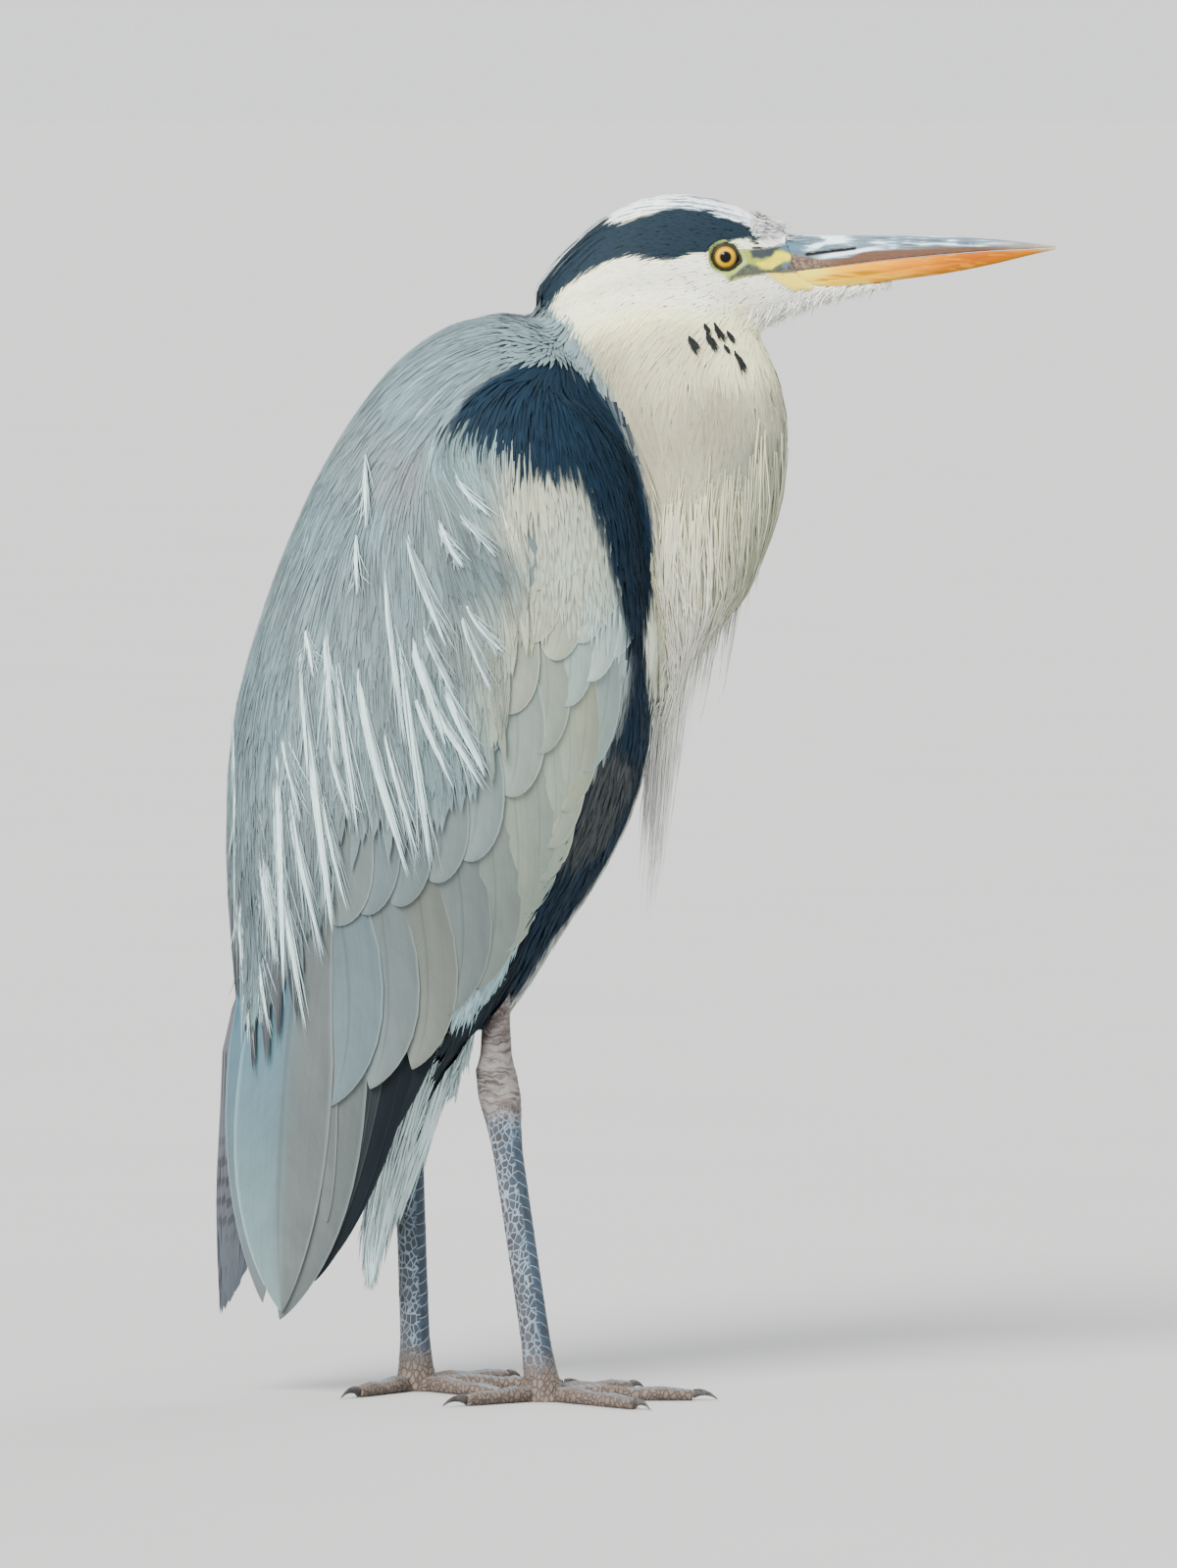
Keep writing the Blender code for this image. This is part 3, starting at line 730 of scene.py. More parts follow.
def bareMarkings(places, colours):
    # bare skin from the eye to the bill, over the plumage colours
    x, y, z = (places / mm).T
    fleck = cloud(x, z, 0.8, 0.8, 7)
    x, z = x + 1.2 * (cloud(x, z, 2.6, 1.6, 8) - 0.5), z + 1.0 * (cloud(x, z, 2.6, 1.6, 9) - 0.5)
    off = faceOff(places)
    return paintOver(colours, tones, [
        ("lore", inside("bareFace", x, z, 0.8)),
        ("loreDark", inside("loreLower", x, z, 0.7) * (0.65 + 0.35 * fleck)),
        ("loreBlue", inside("loreBlue", x, z, 0.8)),
        ("gapeBrown", inside("gapeBrown", x, z, 0.8)),
        ("loreDark", inside("gapeBrown", x, z, 0.5) * smoothstep(0.5, 0.65, fleck)),
        ("loreDark", inside("loreUpper", x, z, 0.7)),
        ("loreYellow", inside("lorePatch", x, z, 0.6) * (0.75 + 0.25 * fleck)),
        ("gapeSkin", inside("gapeBase", x, z, 0.5)),
        ("ring", smoothstep(8.9, 8.2, off)),
        ("lid", smoothstep(7.1, 6.7, off)),
    ])


def bareShare(places):
    x, y, z = (places / mm).T
    wide = smoothstep(2.0, 4.0, np.abs(y))
    return np.maximum(inside("bareFace", x, z, 0.7), smoothstep(9.0, 8.2, faceOff(places))) * wide


# places in side view, in millimetres, and the way the feathers run there
flow = [
    (60, 566, -1, 0.3), (40, 571, -1, 0.1), (15, 572, -1, -0.1), (-10, 563, -0.85, -0.5),
    (-30, 546, -0.7, -0.7), (-44, 526, -0.5, -0.85), (30, 550, -1, 0), (10, 538, -0.95, -0.3),
    (-15, 532, -0.85, -0.55), (32, 526, -0.9, -0.4), (60, 532, -0.85, -0.5), (88, 534, -0.75, -0.65),
    (110, 537, -0.7, -0.7), (42, 514, -0.5, -0.85), (4, 510, -0.5, -0.85), (-34, 505, -0.2, -1),
    (-22, 480, 0.4, -0.9), (4, 452, 0.38, -0.92), (34, 484, 0, -1), (60, 492, 0.1, -1), (68, 462, 0, -1),
    (70, 440, -0.12, -1), (40, 440, -0.05, -1), (20, 420, 0.08, -1), (56, 400, -0.3, -0.95),
    (30, 380, -0.25, -0.97), (14, 360, -0.15, -1), (40, 350, -0.4, -0.92), (20, 320, -0.3, -0.95),
    (-50, 516, -1, -0.2), (-46, 509, -0.8, -0.6), (-40, 500, -0.5, -0.87), (-58, 505, -0.85, -0.5),
    (-85, 500, -0.8, -0.6), (-120, 465, -0.6, -0.8), (-150, 420, -0.42, -0.9), (-175, 370, -0.25, -0.97),
    (-190, 310, -0.08, -1), (-195, 240, 0, -1), (-115, 448, -0.25, -0.97), (-84, 444, 0.55, -0.83),
    (-75, 404, 0.45, -0.9), (-120, 404, 0.08, -1), (-156, 422, -0.2, -1), (-72, 482, -0.3, -0.95),
    (-50, 470, -0.05, -1), (-32, 472, 0.12, -1), (-14, 455, 0.3, -0.95), (0, 410, 0.05, -1),
    (2, 368, -0.15, -1), (-40, 430, 0.05, -1), (-20, 400, 0.03, -1), (-15, 350, -0.12, -1),
    (-40, 380, 0, -1), (-100, 330, 0.18, -1), (-62, 330, 0.12, -1), (-145, 330, 0.06, -1),
    (-60, 250, -0.15, -1), (-100, 230, -0.08, -1), (-30, 270, -0.3, -0.95), (-150, 220, 0, -1),
    (0, 300, -0.3, -0.95), (-30, 240, -0.45, -0.9), (-60, 190, -0.5, -0.85), (-90, 180, -0.4, -0.9),
]


def unit(ways):
    return ways / np.maximum(np.linalg.norm(ways, axis=-1, keepdims=True), 1e-9)


flowBlend = {"soft": 0.007, "power": 1.6}


def layOf(places):
    spots = np.array([row[:2] for row in flow]) * mm
    ways = unit(np.array([row[2:] for row in flow], float))
    gaps = ((places[:, None, [0, 2]] - spots) ** 2).sum(2)
    weights = 1 / (gaps + flowBlend["soft"] ** 2) ** flowBlend["power"]
    side = (weights[:, :, None] * ways).sum(1)
    return unit(np.c_[side[:, 0], np.zeros(len(places)), side[:, 1]])


class Form:
    # the outer form of the plumage, asked for its nearest places
    def __init__(self, obj):
        self.places = spots(obj)
        self.normals = vertexNormals(obj)
        self.faces = np.array([tuple(p.vertices) for p in obj.data.polygons])
        self.tree = BVHTree.FromPolygons([Vector(p) for p in self.places], self.faces.tolist())

    def settle(self, wanted):
        found = [self.tree.find_nearest(Vector(p)) for p in wanted]
        held = np.array([tuple(hit[0]) for hit in found])
        corners = self.faces[[hit[2] for hit in found]]
        weights = 1 / (np.linalg.norm(self.places[corners] - held[:, None], axis=2) + 1e-5)
        return held, unit((self.normals[corners] * weights[:, :, None]).sum(1))


class Flank:
    # how far out the flank stands at each place in side view, the same on both sides
    def __init__(self, form):
        self.step = 0.004
        self.low = np.array((-0.232, 0.016))
        fills, smooths, edgeDepth = 138, 2, 0.004  # turns that carry depths outwards, then soften them all
        across = np.arange(self.low[0], 0.1, self.step)
        up = np.arange(self.low[1], 0.54, self.step)
        depth = np.full((len(across), len(up)), np.nan)
        for i, x in enumerate(across):
            for j, z in enumerate(up):
                hit = form.tree.ray_cast(Vector((x, -0.4, z)), Vector((0, 1, 0)), 0.4)[0]
                depth[i, j] = np.nan if hit is None or hit.y > 0 else -hit.y
        empty = np.isnan(depth)
        depth = np.where(empty, edgeDepth, depth)
        for turn in range(fills + smooths):
            edge = np.pad(depth, 1, mode="edge")
            mean = (edge[2:, 1:-1] + edge[:-2, 1:-1] + edge[1:-1, 2:] + edge[1:-1, :-2]) / 4
            depth = np.where(empty | (turn >= fills), mean, depth)
            depth[0], depth[-1] = edgeDepth, edgeDepth
        self.depth = depth

    def at(self, x, z):
        i = np.clip((x - self.low[0]) / self.step, 0, self.depth.shape[0] - 1.001)
        j = np.clip((z - self.low[1]) / self.step, 0, self.depth.shape[1] - 1.001)
        a, b = i.astype(int), j.astype(int)
        u, v = i - a, j - b
        d = self.depth
        low = d[a, b] * (1 - u) + d[a + 1, b] * u
        high = d[a, b + 1] * (1 - u) + d[a + 1, b + 1] * u
        return low * (1 - v) + high * v


skinPlan = {
    "bodyDepth": 0.0032,
    "headDepth": 0.0012,
    "bodyGrain": 0.0038,
    "headGrain": 0.00088,
    "legGrain": 0.00101,
    "wingsEnd": 0.184,
    "swell": 0.0004,
    # legs are what lies below legTop, away from the midline or below the tail's tuft
    "legTop": 0.205,
    "midline": 0.004,
    "belowTuft": 0.1,
}


def skinPart(nodes, name, grain, depth, smoothing, lowest=None, whole=True):
    part = copyOf(nodes, name, skinPlan["swell"])
    if lowest:
        pick(part)
        editAll(bpy.ops.mesh.bisect, plane_co=(0, 0, lowest), plane_no=(0, 0, 1),
                use_fill=True, clear_inner=True)
    remesh(part, grain, smoothing)
    part = keepOuter(part) if whole else part
    if depth:
        shrink(part, depth)
        remesh(part, grain, 2)
        part = keepOuter(part)
    return part


def shapeFace(head):
    # feathered skin lies deeper than the bare face, and the eye sits in a socket with a ring of lid round it
    places = spots(head)
    depth = skinPlan["headDepth"] * (1 - 0.85 * bareShare(places))
    places = places - vertexNormals(head) * depth[:, None]
    off = faceOff(places)
    near = (off < 9) & (np.abs(places[:, 1]) > 0.008)
    globe = np.sqrt(np.clip(eye["radius"] ** 2 - (np.minimum(off, 7.0) * mm) ** 2, 0, 1))
    ball = abs(eye["centre"][1]) + globe
    side = np.sign(places[:, 1])
    out = np.abs(places[:, 1])
    socket = ball - 0.0018
    rim = ball + 0.0001
    socketEdge, rimEdge, cheekEdge = 5.6, 6.3, 8.8  # millimetres from the eye's axis
    level = socket + (rim - socket) * smoothstep(socketEdge, rimEdge, off)
    level = level + (out - level) * smoothstep(rimEdge, cheekEdge, off)
    places[:, 1] = np.where(near, side * level, places[:, 1])
    setSpots(head, places)


def lidReach(turn):
    # how far the lids reach out in a direction, more at the front corner
    turn = (turn - math.radians(eye["cornerTurn"]) + math.pi) % (2 * math.pi) - math.pi
    return 1 + eye["corner"] * np.exp(-(turn / math.radians(eye["cornerWidth"])) ** 2)


def makeLids(body):
    # a soft ring of lid round each eye, drawn out to a corner at the front
    major, minor = eye["lid"]
    for side in (-1, 1):
        deselect()
        bpy.ops.mesh.primitive_torus_add(major_segments=112, minor_segments=14,
                                         major_radius=major * mm, minor_radius=minor * mm)
        ring = bpy.context.object
        flat = spots(ring)
        turn = np.arctan2(flat[:, 1], flat[:, 0])
        off = np.hypot(flat[:, 0], flat[:, 1]) - major * mm
        reach = major * mm * lidReach(turn) + off
        ball = abs(eye["centre"][1]) + np.sqrt(eye["radius"] ** 2 - (np.minimum(reach / mm, 6.6) * mm) ** 2)
        lift = ball + flat[:, 2] - 0.00005
        x, z = eye["centre"][0] + np.cos(turn) * reach, eye["centre"][2] + np.sin(turn) * reach
        setSpots(ring, np.c_[x, side * lift, z])
        editAll(bpy.ops.mesh.normals_make_consistent, inside=False)
        weldOn(body, ring)


def makeSkin():
    body = skinPart(fleshNodes["body"] + ["shin_right", "shin_left"], "skin", skinPlan["bodyGrain"],
                    skinPlan["bodyDepth"], 4, skinPlan["wingsEnd"])
    taperBreast(body)
    head = skinPart(["head"], "headSkin", skinPlan["headGrain"], 0.0, 6)
    shapeFace(head)
    legs = skinPart(fleshNodes["legs"], "legSkin", skinPlan["legGrain"], 0.0, 3, whole=False)
    for part in (head, legs):
        weldOn(body, part)
    makeLids(body)
    places = spots(body)
    places[:, 2] = np.maximum(places[:, 2], 0.0)
    setSpots(body, places)
    bare = bareShare(places)[:, None]
    feathered = markings(places)
    colours = feathered + (pigment(bareMarkings(places, feathered)) - feathered) * bare
    store(body.data, "tint", "FLOAT_COLOR", np.c_[colours, np.ones(len(colours))])
    body.data.materials.clear()
    body.data.materials.append(skinPaint())
    body.data.materials.append(legPaint())
    x, y, z = readVectors(body.data.polygons, "center").T
    legLike = (z < skinPlan["legTop"]) & ((np.abs(y) > skinPlan["midline"]) | (z < skinPlan["belowTuft"]))
    body.data.polygons.foreach_set("material_index", legLike.astype(np.int32))
    body.data.shade_smooth()
    print("skin", len(body.data.polygons), "faces")
    return body


# the long axis of the body: heights, and its place along at each
axisHeights = [0.03, 0.15, 0.25, 0.35, 0.48, 0.52]
axisPlaces = [-0.17, -0.14, -0.11, -0.09, -0.06, -0.05]


class Coat:
    # gathers feathers and turns them into one joined mesh of thin closed vanes
    def __init__(self, name, plan, axis="z", free=False):
        self.name = name
        self.axis = axis
        self.free = free
        self.camber = plan.get("camber", 0.2)
        self.thickness = plan["thickness"]
        columns = plan.get("columns", 3)
        self.columns = np.linspace(-1, 1, columns)
        self.shares = 1 - (1 - np.linspace(0, 1, plan["stations"] + 1)[:-1]) ** plan.get("crowd", 1.0)
        self.marks = np.r_[self.shares, 1.0]
        self.roundness = 0.35 if columns > 3 else 0.16
        self.under = 0 if columns == 3 and self.thickness < 0.0002 else columns - 2
        self.ring = columns + self.under
        self.across = np.r_[self.columns, self.columns[1:-1][::-1][:self.under]]
        self.parts = []

    def add(self, middle, tips, tops, widths, tints, lengths):
        # n feathers: middle n,stations,columns,3; tints n,4,3 as back root, back tip, front root, front tip
        self.parts.append((middle, tips, tops, widths, tints, lengths))

    def addOne(self, line, across, tops, half, tints, length):
        # one feather along a line of places, root first
        middle = line[:-1, None] + across * (half[:, None] * self.columns)[..., None]
        self.add(middle[None], line[-1][None], tops[None], half[None],
                 np.stack(tints)[None], np.array([length]))

    def hang(self, line, facing, width, root, tip, length):
        # one free lance-shaped feather that turns its flat side to facing
        run = unit(np.gradient(line, axis=0))
        top = unit(facing - run * (run @ facing)[:, None])
        across = unit(np.cross(run, top))
        half = 0.5 * width * mm * vaneShape("lance", self.shares)
        self.addOne(line, across[:-1, None], top[:-1], half, (root, tip, root, tip), length)

    def template(self):
        # triangles of one feather, the under side cut along the same diagonals as the upper one
        stations, ring = len(self.shares), self.ring
        loops, patches = [], []
        for k in range(stations - 1):
            low, high = self.shares[k], self.shares[k + 1]
            for i in range(ring):
                j = (i + 1) % ring
                corners = [k * ring + i, k * ring + j, (k + 1) * ring + j, (k + 1) * ring + i]
                spread = [(i / ring, low), ((i + 1) / ring, low), ((i + 1) / ring, high), (i / ring, high)]
                turns = (0, 1, 2, 0, 2, 3) if i < len(self.columns) - 1 else (0, 1, 3, 1, 2, 3)
                loops += [corners[t] for t in turns]
                patches += [spread[t] for t in turns]
        last = (stations - 1) * ring
        low = self.shares[-1]
        for i in range(ring):
            loops += [last + i, last + (i + 1) % ring, stations * ring]
            patches += [(i / ring, low), ((i + 1) / ring, low), ((i + 0.5) / ring, 1.0)]
        for i in range(1, ring - 1):
            loops += [0, i + 1, i]
            turns = (2 * math.pi * t / ring for t in (0, i + 1, i))
            patches += [(0.5 + 0.3 * math.cos(turn), -0.12 + 0.1 * math.sin(turn)) for turn in turns]
        return np.array(loops), np.array(patches)

    def surface(self, middle, tips, tops, widths):
        # the places of each feather: rings of upper and under side from root to end, then the tip
        bow = 1 - self.columns**2
        thin = np.clip(1.25 - self.shares, 0.35, 1.0)[None, :, None, None] * self.thickness
        out = tops[:, :, None, :]
        lifted = middle + out * (self.camber * widths[:, :, None, None] * bow[None, None, :, None])
        half = out * thin * np.sqrt(bow)[None, None, :, None] * 0.5
        rings = [lifted + half]
        if self.under:
            rings.append((lifted - half)[:, :, -2:0:-1])
        body = np.concatenate(rings, axis=2).reshape(len(tips), -1, 3)
        return np.concatenate([body, tips[:, None, :]], axis=1)

    def storeLooks(self, mesh, widths, tints, lengths):
        # colour, place on the feather in metres and place in its outline, read by the paints
        count, stations = widths.shape
        share = np.r_[np.repeat(self.shares, self.ring), 1.0]
        each = len(share)
        front = np.r_[np.tile(smoothstep(-0.3, 0.3, self.across), stations), 0.5][None, :, None]
        near, far = (tints[:, k, None] + (tints[:, k + 1] - tints[:, k])[:, None] * share[None, :, None]
                     for k in (0, 2))
        colours = np.concatenate([near + (far - near) * front, np.ones((count, each, 1))], axis=2)
        spread = np.c_[(widths[:, :, None] * self.across).reshape(count, -1), np.zeros(count)]
        chance = np.repeat(dice.random(count)[:, None], each, axis=1)
        edge = np.broadcast_to(np.r_[np.tile(np.abs(self.across), stations), 1.0], (count, each))
        whole = np.broadcast_to(share, (count, each))
        store(mesh, "tint", "FLOAT_COLOR", colours)
        store(mesh, "lay", "FLOAT_VECTOR", np.stack([spread, lengths[:, None] * share, chance], axis=2))
        store(mesh, "form", "FLOAT_VECTOR", np.stack([edge, whole, chance], axis=2))

    def roundNormals(self, middle, tops):
        # normals that lean outwards at the sides, so that flat feathers catch the light as rounded ones
        sides = unit(middle[:, :, -1] - middle[:, :, 0])[:, :, None, :]
        lean = sides * self.across[None, None, :, None] * self.roundness
        facing = np.r_[np.ones(len(self.columns)), -np.ones(self.under)][None, None, :, None]
        normals = unit(tops[:, :, None, :] * facing + lean).reshape(len(tops), -1, 3)
        return np.concatenate([normals, tops[:, -1:]], axis=1).reshape(-1, 3)

    def build(self, paint, slot, grid=0):
        middle, tips, tops, widths, tints, lengths = (np.concatenate(p) for p in zip(*self.parts))
        places = self.surface(middle, tips, tops, widths)
        count, each = places.shape[:2]
        loops, patches = self.template()
        loops = (loops[None, :] + np.arange(count)[:, None] * each).ravel()
        mesh = bpy.data.meshes.new(self.name)
        mesh.vertices.add(count * each)
        mesh.vertices.foreach_set("co", places.astype(np.float32).ravel())
        mesh.loops.add(len(loops))
        mesh.loops.foreach_set("vertex_index", loops.astype(np.int32))
        mesh.polygons.add(len(loops) // 3)
        mesh.polygons.foreach_set("loop_start", np.arange(0, len(loops), 3, dtype=np.int32))
        mesh.update(calc_edges=True)
        self.storeLooks(mesh, widths, tints, lengths)
        self.mapTufts(mesh, middle[:, 0].mean(1), patches, grid)
        mesh.shade_smooth()
        if not self.free:
            mesh.normals_split_custom_set_from_vertices(self.roundNormals(middle, tops))
        piece = bpy.data.objects.new(self.name, mesh)
        bpy.context.scene.collection.objects.link(piece)
        mesh.materials.append(paints[paint])
        print(self.name, count, "feathers", len(loops) // 3, "triangles")
        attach(piece, "root")

    def mapTufts(self, mesh, roots, patches, grid):
        # each feather gets a small patch at its root's place on the skin, unrolled round the bird's
        # long axis, or a cell of its own in a grid
        layer = mesh.uv_layers.new(name="OFBake")
        if grid:
            cells = np.arange(len(roots))
            base = np.c_[cells % grid, cells // grid] / grid + np.array((0.04, 0.16)) / grid
            size = np.array((0.92, 0.80)) / grid
        else:
            if self.axis == "z":
                turn = np.arctan2(roots[:, 1], roots[:, 0] - np.interp(roots[:, 2], axisHeights, axisPlaces))
                base = np.c_[turn, roots[:, 2]]
            else:
                base = np.c_[np.arctan2(roots[:, 1], roots[:, 2] - 0.54), roots[:, 0]]
            base = (base - base.min(0)) / np.maximum(np.ptp(base, axis=0), 1e-6) * 0.994 + 0.0015
            size = np.array((0.003, 0.003))
        held = base[:, None, :] + patches[None, :, :] * size
        layer.data.foreach_set("uv", np.clip(held, 0, 1).astype(np.float32).ravel())


def store(mesh, name, kind, values):
    layer = mesh.attributes.new(name, kind, "POINT")
    key = "color" if kind == "FLOAT_COLOR" else "vector"
    layer.data.foreach_set(key, np.ascontiguousarray(values, np.float32).ravel())


vaneShapes = {
    # width at the root, how fast it opens, where it turns to the tip, how late it narrows, how blunt it ends
    "round": (0.45, 1.5, 0.5, 2.3, 0.5),
    "lance": (0.4, 2.2, 0.0, 1.0, 0.6),
    "blade": (0.6, 1.2, 0.45, 1.9, 0.85),
    "hair": (0.7, 1.5, 0.0, 1.0, 0.5),
}


def vaneShape(kind, v):
    # half width along a feather, as a share of its widest
    root, opening, turn, fall, blunt = vaneShapes[kind]
    tip = np.clip((v - turn) / (1 - turn), 0, 1) ** fall
    return np.clip(root + opening * v, 0, 1) * np.clip(1 - tip, 0, 1) ** blunt


def jitter(colours, amount, warmth=0.03):
    # a slightly different brightness and warmth for each feather
    count = len(colours)
    light = 1 + amount * dice.normal(size=(count, 1)).clip(-2, 2) * 0.6
    warm = 1 + warmth * dice.normal(size=(count, 1)).clip(-2, 2) * np.array([[1, 0, -1]])
    return np.clip(colours * light * warm, 0.004, 0.93)


def comb(coat, form, roots, length, width, look, tints=None, heading=None):
    # lays feathers from their roots over the form, following the lie of the plumage
    count = len(roots)
    if not count:
        return
    uneven = look.get("uneven", 0.15) * dice.normal(size=count).clip(-2, 2)
    length, width = np.broadcast_to(length, count) * (1 + uneven), np.broadcast_to(width, count)
    swerve = look.get("swerve", 0.1) * dice.normal(size=(count, 1)).clip(-2, 2)
    stations, marks = len(coat.shares), coat.marks
    path = np.empty((count, stations + 1, 3))
    tops, sides = np.empty_like(path), np.empty_like(path)
    spot = roots
    way = layOf(roots) if heading is None else heading
    for k in range(stations + 1):
        spot, top = form.settle(spot)
        wish = layOf(spot) if heading is None else way
        way = unit(way * 0.5 + wish * 0.5)
        side = unit(np.cross(way, top))
        way = unit(way + side * swerve)
        way = unit(way - top * (way * top).sum(1, keepdims=True))
        path[:, k], tops[:, k], sides[:, k] = spot, top, unit(np.cross(way, top))
        if k < stations:
            spot = spot + way * (length * (marks[k + 1] - marks[k]))[:, None]
    sink, lift = np.broadcast_to(look["sink"], count), np.broadcast_to(look["lift"], count)
    lift = lift + look.get("fluff", 0.0002) * dice.random(count)
    flat = ((tops[:, 1:] * tops[:, :-1]).sum(2).min(1) > 0.4) & ((tops[:, 0] * tops[:, -1]).sum(1) > 0.0)
    path, tops, sides, sink, lift = path[flat], tops[flat], sides[flat], sink[flat], lift[flat]
    length, width, count = length[flat], width[flat], flat.sum()
    tints = tints[flat] if tints is not None else None
    rise = sink[:, None] + (lift - sink)[:, None] * marks[None, :] ** look.get("risePower", 0.8)
    path = path + tops * rise[:, :, None]
    tip = path[:, -1] + tops[:, -1] * (look.get("flick", 0.0) * dice.random(count))[:, None]
    half = 0.5 * width[:, None] * vaneShape(look["shape"], coat.shares)[None, :]
    u = coat.columns[None, None, :, None]
    middle = path[:, :-1, None, :] + sides[:, :-1, None, :] * u * half[:, :, None, None]
    if tints is None:
        tints = markings(path[:, (stations + 1) // 2])
        tints = tints + (markings(path[:, -1]) - tints) * look.get("tipShare", 0.35)
    tints = jitter(tints, look["vary"], look.get("warmth", 0.02))
    # the root end of each feather darker, partly for its downy base and partly as painted shade under the
    # feathers that overlap it
    dark = tints * look.get("rootShade", 0.75)
    four = np.stack([dark, tints, dark, tints], axis=1)
    coat.add(middle, tip, tops[:, :-1], half, four, length)


def sprinkle(form, keep, gap, tries):
    # evenly spread random roots on the form, where keep(places) says so, about gap(places) apart
    tri = np.concatenate([form.faces[:, [0, 1, 2]], form.faces[:, [0, 2, 3]]])
    a, b, c = (form.places[tri[:, k]] for k in range(3))
    areas = np.linalg.norm(np.cross(b - a, c - a), axis=1) * (keep((a + b + c) / 3) > 0.01)
    chosen = dice.choice(len(areas), size=tries, p=areas / areas.sum())
    r, s = np.sqrt(dice.random(tries))[:, None], dice.random(tries)[:, None]
    places = a[chosen] * (1 - r) + b[chosen] * (r * (1 - s)) + c[chosen] * (r * s)
    places = places[dice.random(tries) < keep(places)]
    gaps = np.broadcast_to(gap(places) if callable(gap) else gap, len(places))
    cell = gaps.max()
    grid, kept = {}, []
    nearby = [(i, j, k) for i in (-1, 0, 1) for j in (-1, 0, 1) for k in (-1, 0, 1)]
    keys = np.floor(places / cell).astype(int)
    for n, (place, key, limit) in enumerate(zip(places.tolist(), keys.tolist(), (gaps**2).tolist())):
        x, y, z = place
        others = (spot for i, j, k in nearby for spot in grid.get((key[0] + i, key[1] + j, key[2] + k), ()))
        if all((ox - x) ** 2 + (oy - y) ** 2 + (oz - z) ** 2 >= limit for ox, oy, oz in others):
            grid.setdefault(tuple(key), []).append(place)
            kept.append(n)
    return places[kept]


def curve(points, shares):
    # a Bezier curve of any number of control points
    points = np.array(points, float)
    order = len(points) - 1
    total = 0
    for k, point in enumerate(points):
        weight = math.comb(order, k) * (1 - shares) ** (order - k) * shares**k
        total = total + weight[:, None] * point[None, :]
    return total


def vane(coat, side, spine, width, look, tints, level):
    # one large feather on a flank, its spine given in side view in millimetres, root first
    line = curve(spine, coat.marks) * mm
    rootX, rootZ = line[:-1].T
    run = unit(np.gradient(line, axis=0))
    half = 0.5 * width * mm * vaneShape(look["shape"], coat.shares)
    offset = half[:, None] * coat.columns * side
    x = rootX[:, None] - run[:-1, 1, None] * offset
    z = rootZ[:, None] + run[:-1, 0, None] * offset
    rise = look["sink"] + (look["lift"] - look["sink"]) * coat.marks ** look.get("risePower", 0.8) + level
    tilt = look.get("tilt", 0.0) * coat.columns * side * smoothstep(0.1, 0.5, coat.shares)[:, None]
    y = side * (flank.at(x, z) + rise[:-1, None] + tilt)
    tipY = side * (flank.at(line[-1:, 0], line[-1:, 1]) + rise[-1])
    tip = np.array([line[-1, 0], tipY[0], line[-1, 1]])
    near = 0.003  # how far apart the flank is felt for its slope
    slopeX = (flank.at(rootX + near, rootZ) - flank.at(rootX - near, rootZ)) / (2 * near)
    slopeZ = (flank.at(rootX, rootZ + near) - flank.at(rootX, rootZ - near)) / (2 * near)
    tops = unit(np.c_[-slopeX, np.full(len(slopeX), float(side)), -slopeZ])
    length = np.linalg.norm(np.diff(line, axis=0), axis=1).sum()
    four = np.array(tints if side > 0 else [*tints[2:], *tints[:2]])
    coat.add(np.stack([x, y, z], axis=2)[None], tip[None], tops[None], half[None],
             jitter(four, 0.0, 0.0)[None], np.array([length]))


def faceOff(places):
    # distance from the eye's axis in millimetres, stretched towards the front corner of the lids
    x, z = places[:, 0] - eye["centre"][0], places[:, 2] - eye["centre"][2]
    return np.hypot(x, z) / mm / lidReach(np.arctan2(z, x))


def eyePaint():
    paint = Paint("eyePaint")
    place = paint.place()
    x, y, z = paint.split(place)
    x, z = x - eye["centre"][0], z - eye["centre"][2]
    away = (x * x + z * z) ** 0.5
    turn = paint.sum("ARCTAN2", z, x)
    rays = paint.noise(paint.join(turn * 5.0, away * 350, 0.0), 3.0, 3.0, 0.6)
    fleck = paint.noise(place, 1500.0, 2.0)
    wide = away + (rays - 0.5) * 0.0006
    inner = paint.step(wide, eye["pupil"], eye["pupil"] + 0.0009)
    outer = paint.step(wide, eye["iris"] - 0.0014, eye["iris"] - 0.0002)
    iris = paint.mix(inner, ink(eye["amber"]), ink(eye["yellow"]))
    iris = paint.mix(outer, iris, ink(eye["outerAmber"]))
    iris = paint.shade(iris, 0.75 + rays * 0.3 + fleck * 0.2)
    black = (*eye["black"], 1)
    colour = paint.mix(paint.step(away, eye["pupil"] - 0.00025, eye["pupil"] + 0.00005), black, iris)
    colour = paint.mix(paint.step(away, eye["iris"] - 0.0002, eye["iris"] + 0.0002), colour, black)
    return paint.finish(colour, 0.10 + fleck * 0.05, 0.14)


def makeEyes():
    paint = eyePaint()
    for name, side in (("eye_right", -1), ("eye_left", 1)):
        deselect()
        low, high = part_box(name)
        centre = np.array((low + high) / 2)
        bpy.ops.mesh.primitive_uv_sphere_add(segments=72, ring_count=48, radius=eye["radius"])
        ball = bpy.context.object
        ball.name = "eyeball_" + name[4:]
        editAll(bpy.ops.transform.rotate, value=math.radians(90), orient_axis="X", center_override=(0, 0, 0))
        places = spots(ball)
        off = np.hypot(places[:, 0], places[:, 2])
        bulge = np.clip(1 - (off / eye["iris"]) ** 2, 0, 1) ** 1.5 * (places[:, 1] * side > 0)
        places[:, 1] += side * bulge * eye["cornea"]
        setSpots(ball, places + centre)
        ball.data.materials.append(paint)
        ball.data.shade_smooth()
        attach(ball, "root")
        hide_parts(name)
    print("eyes set")


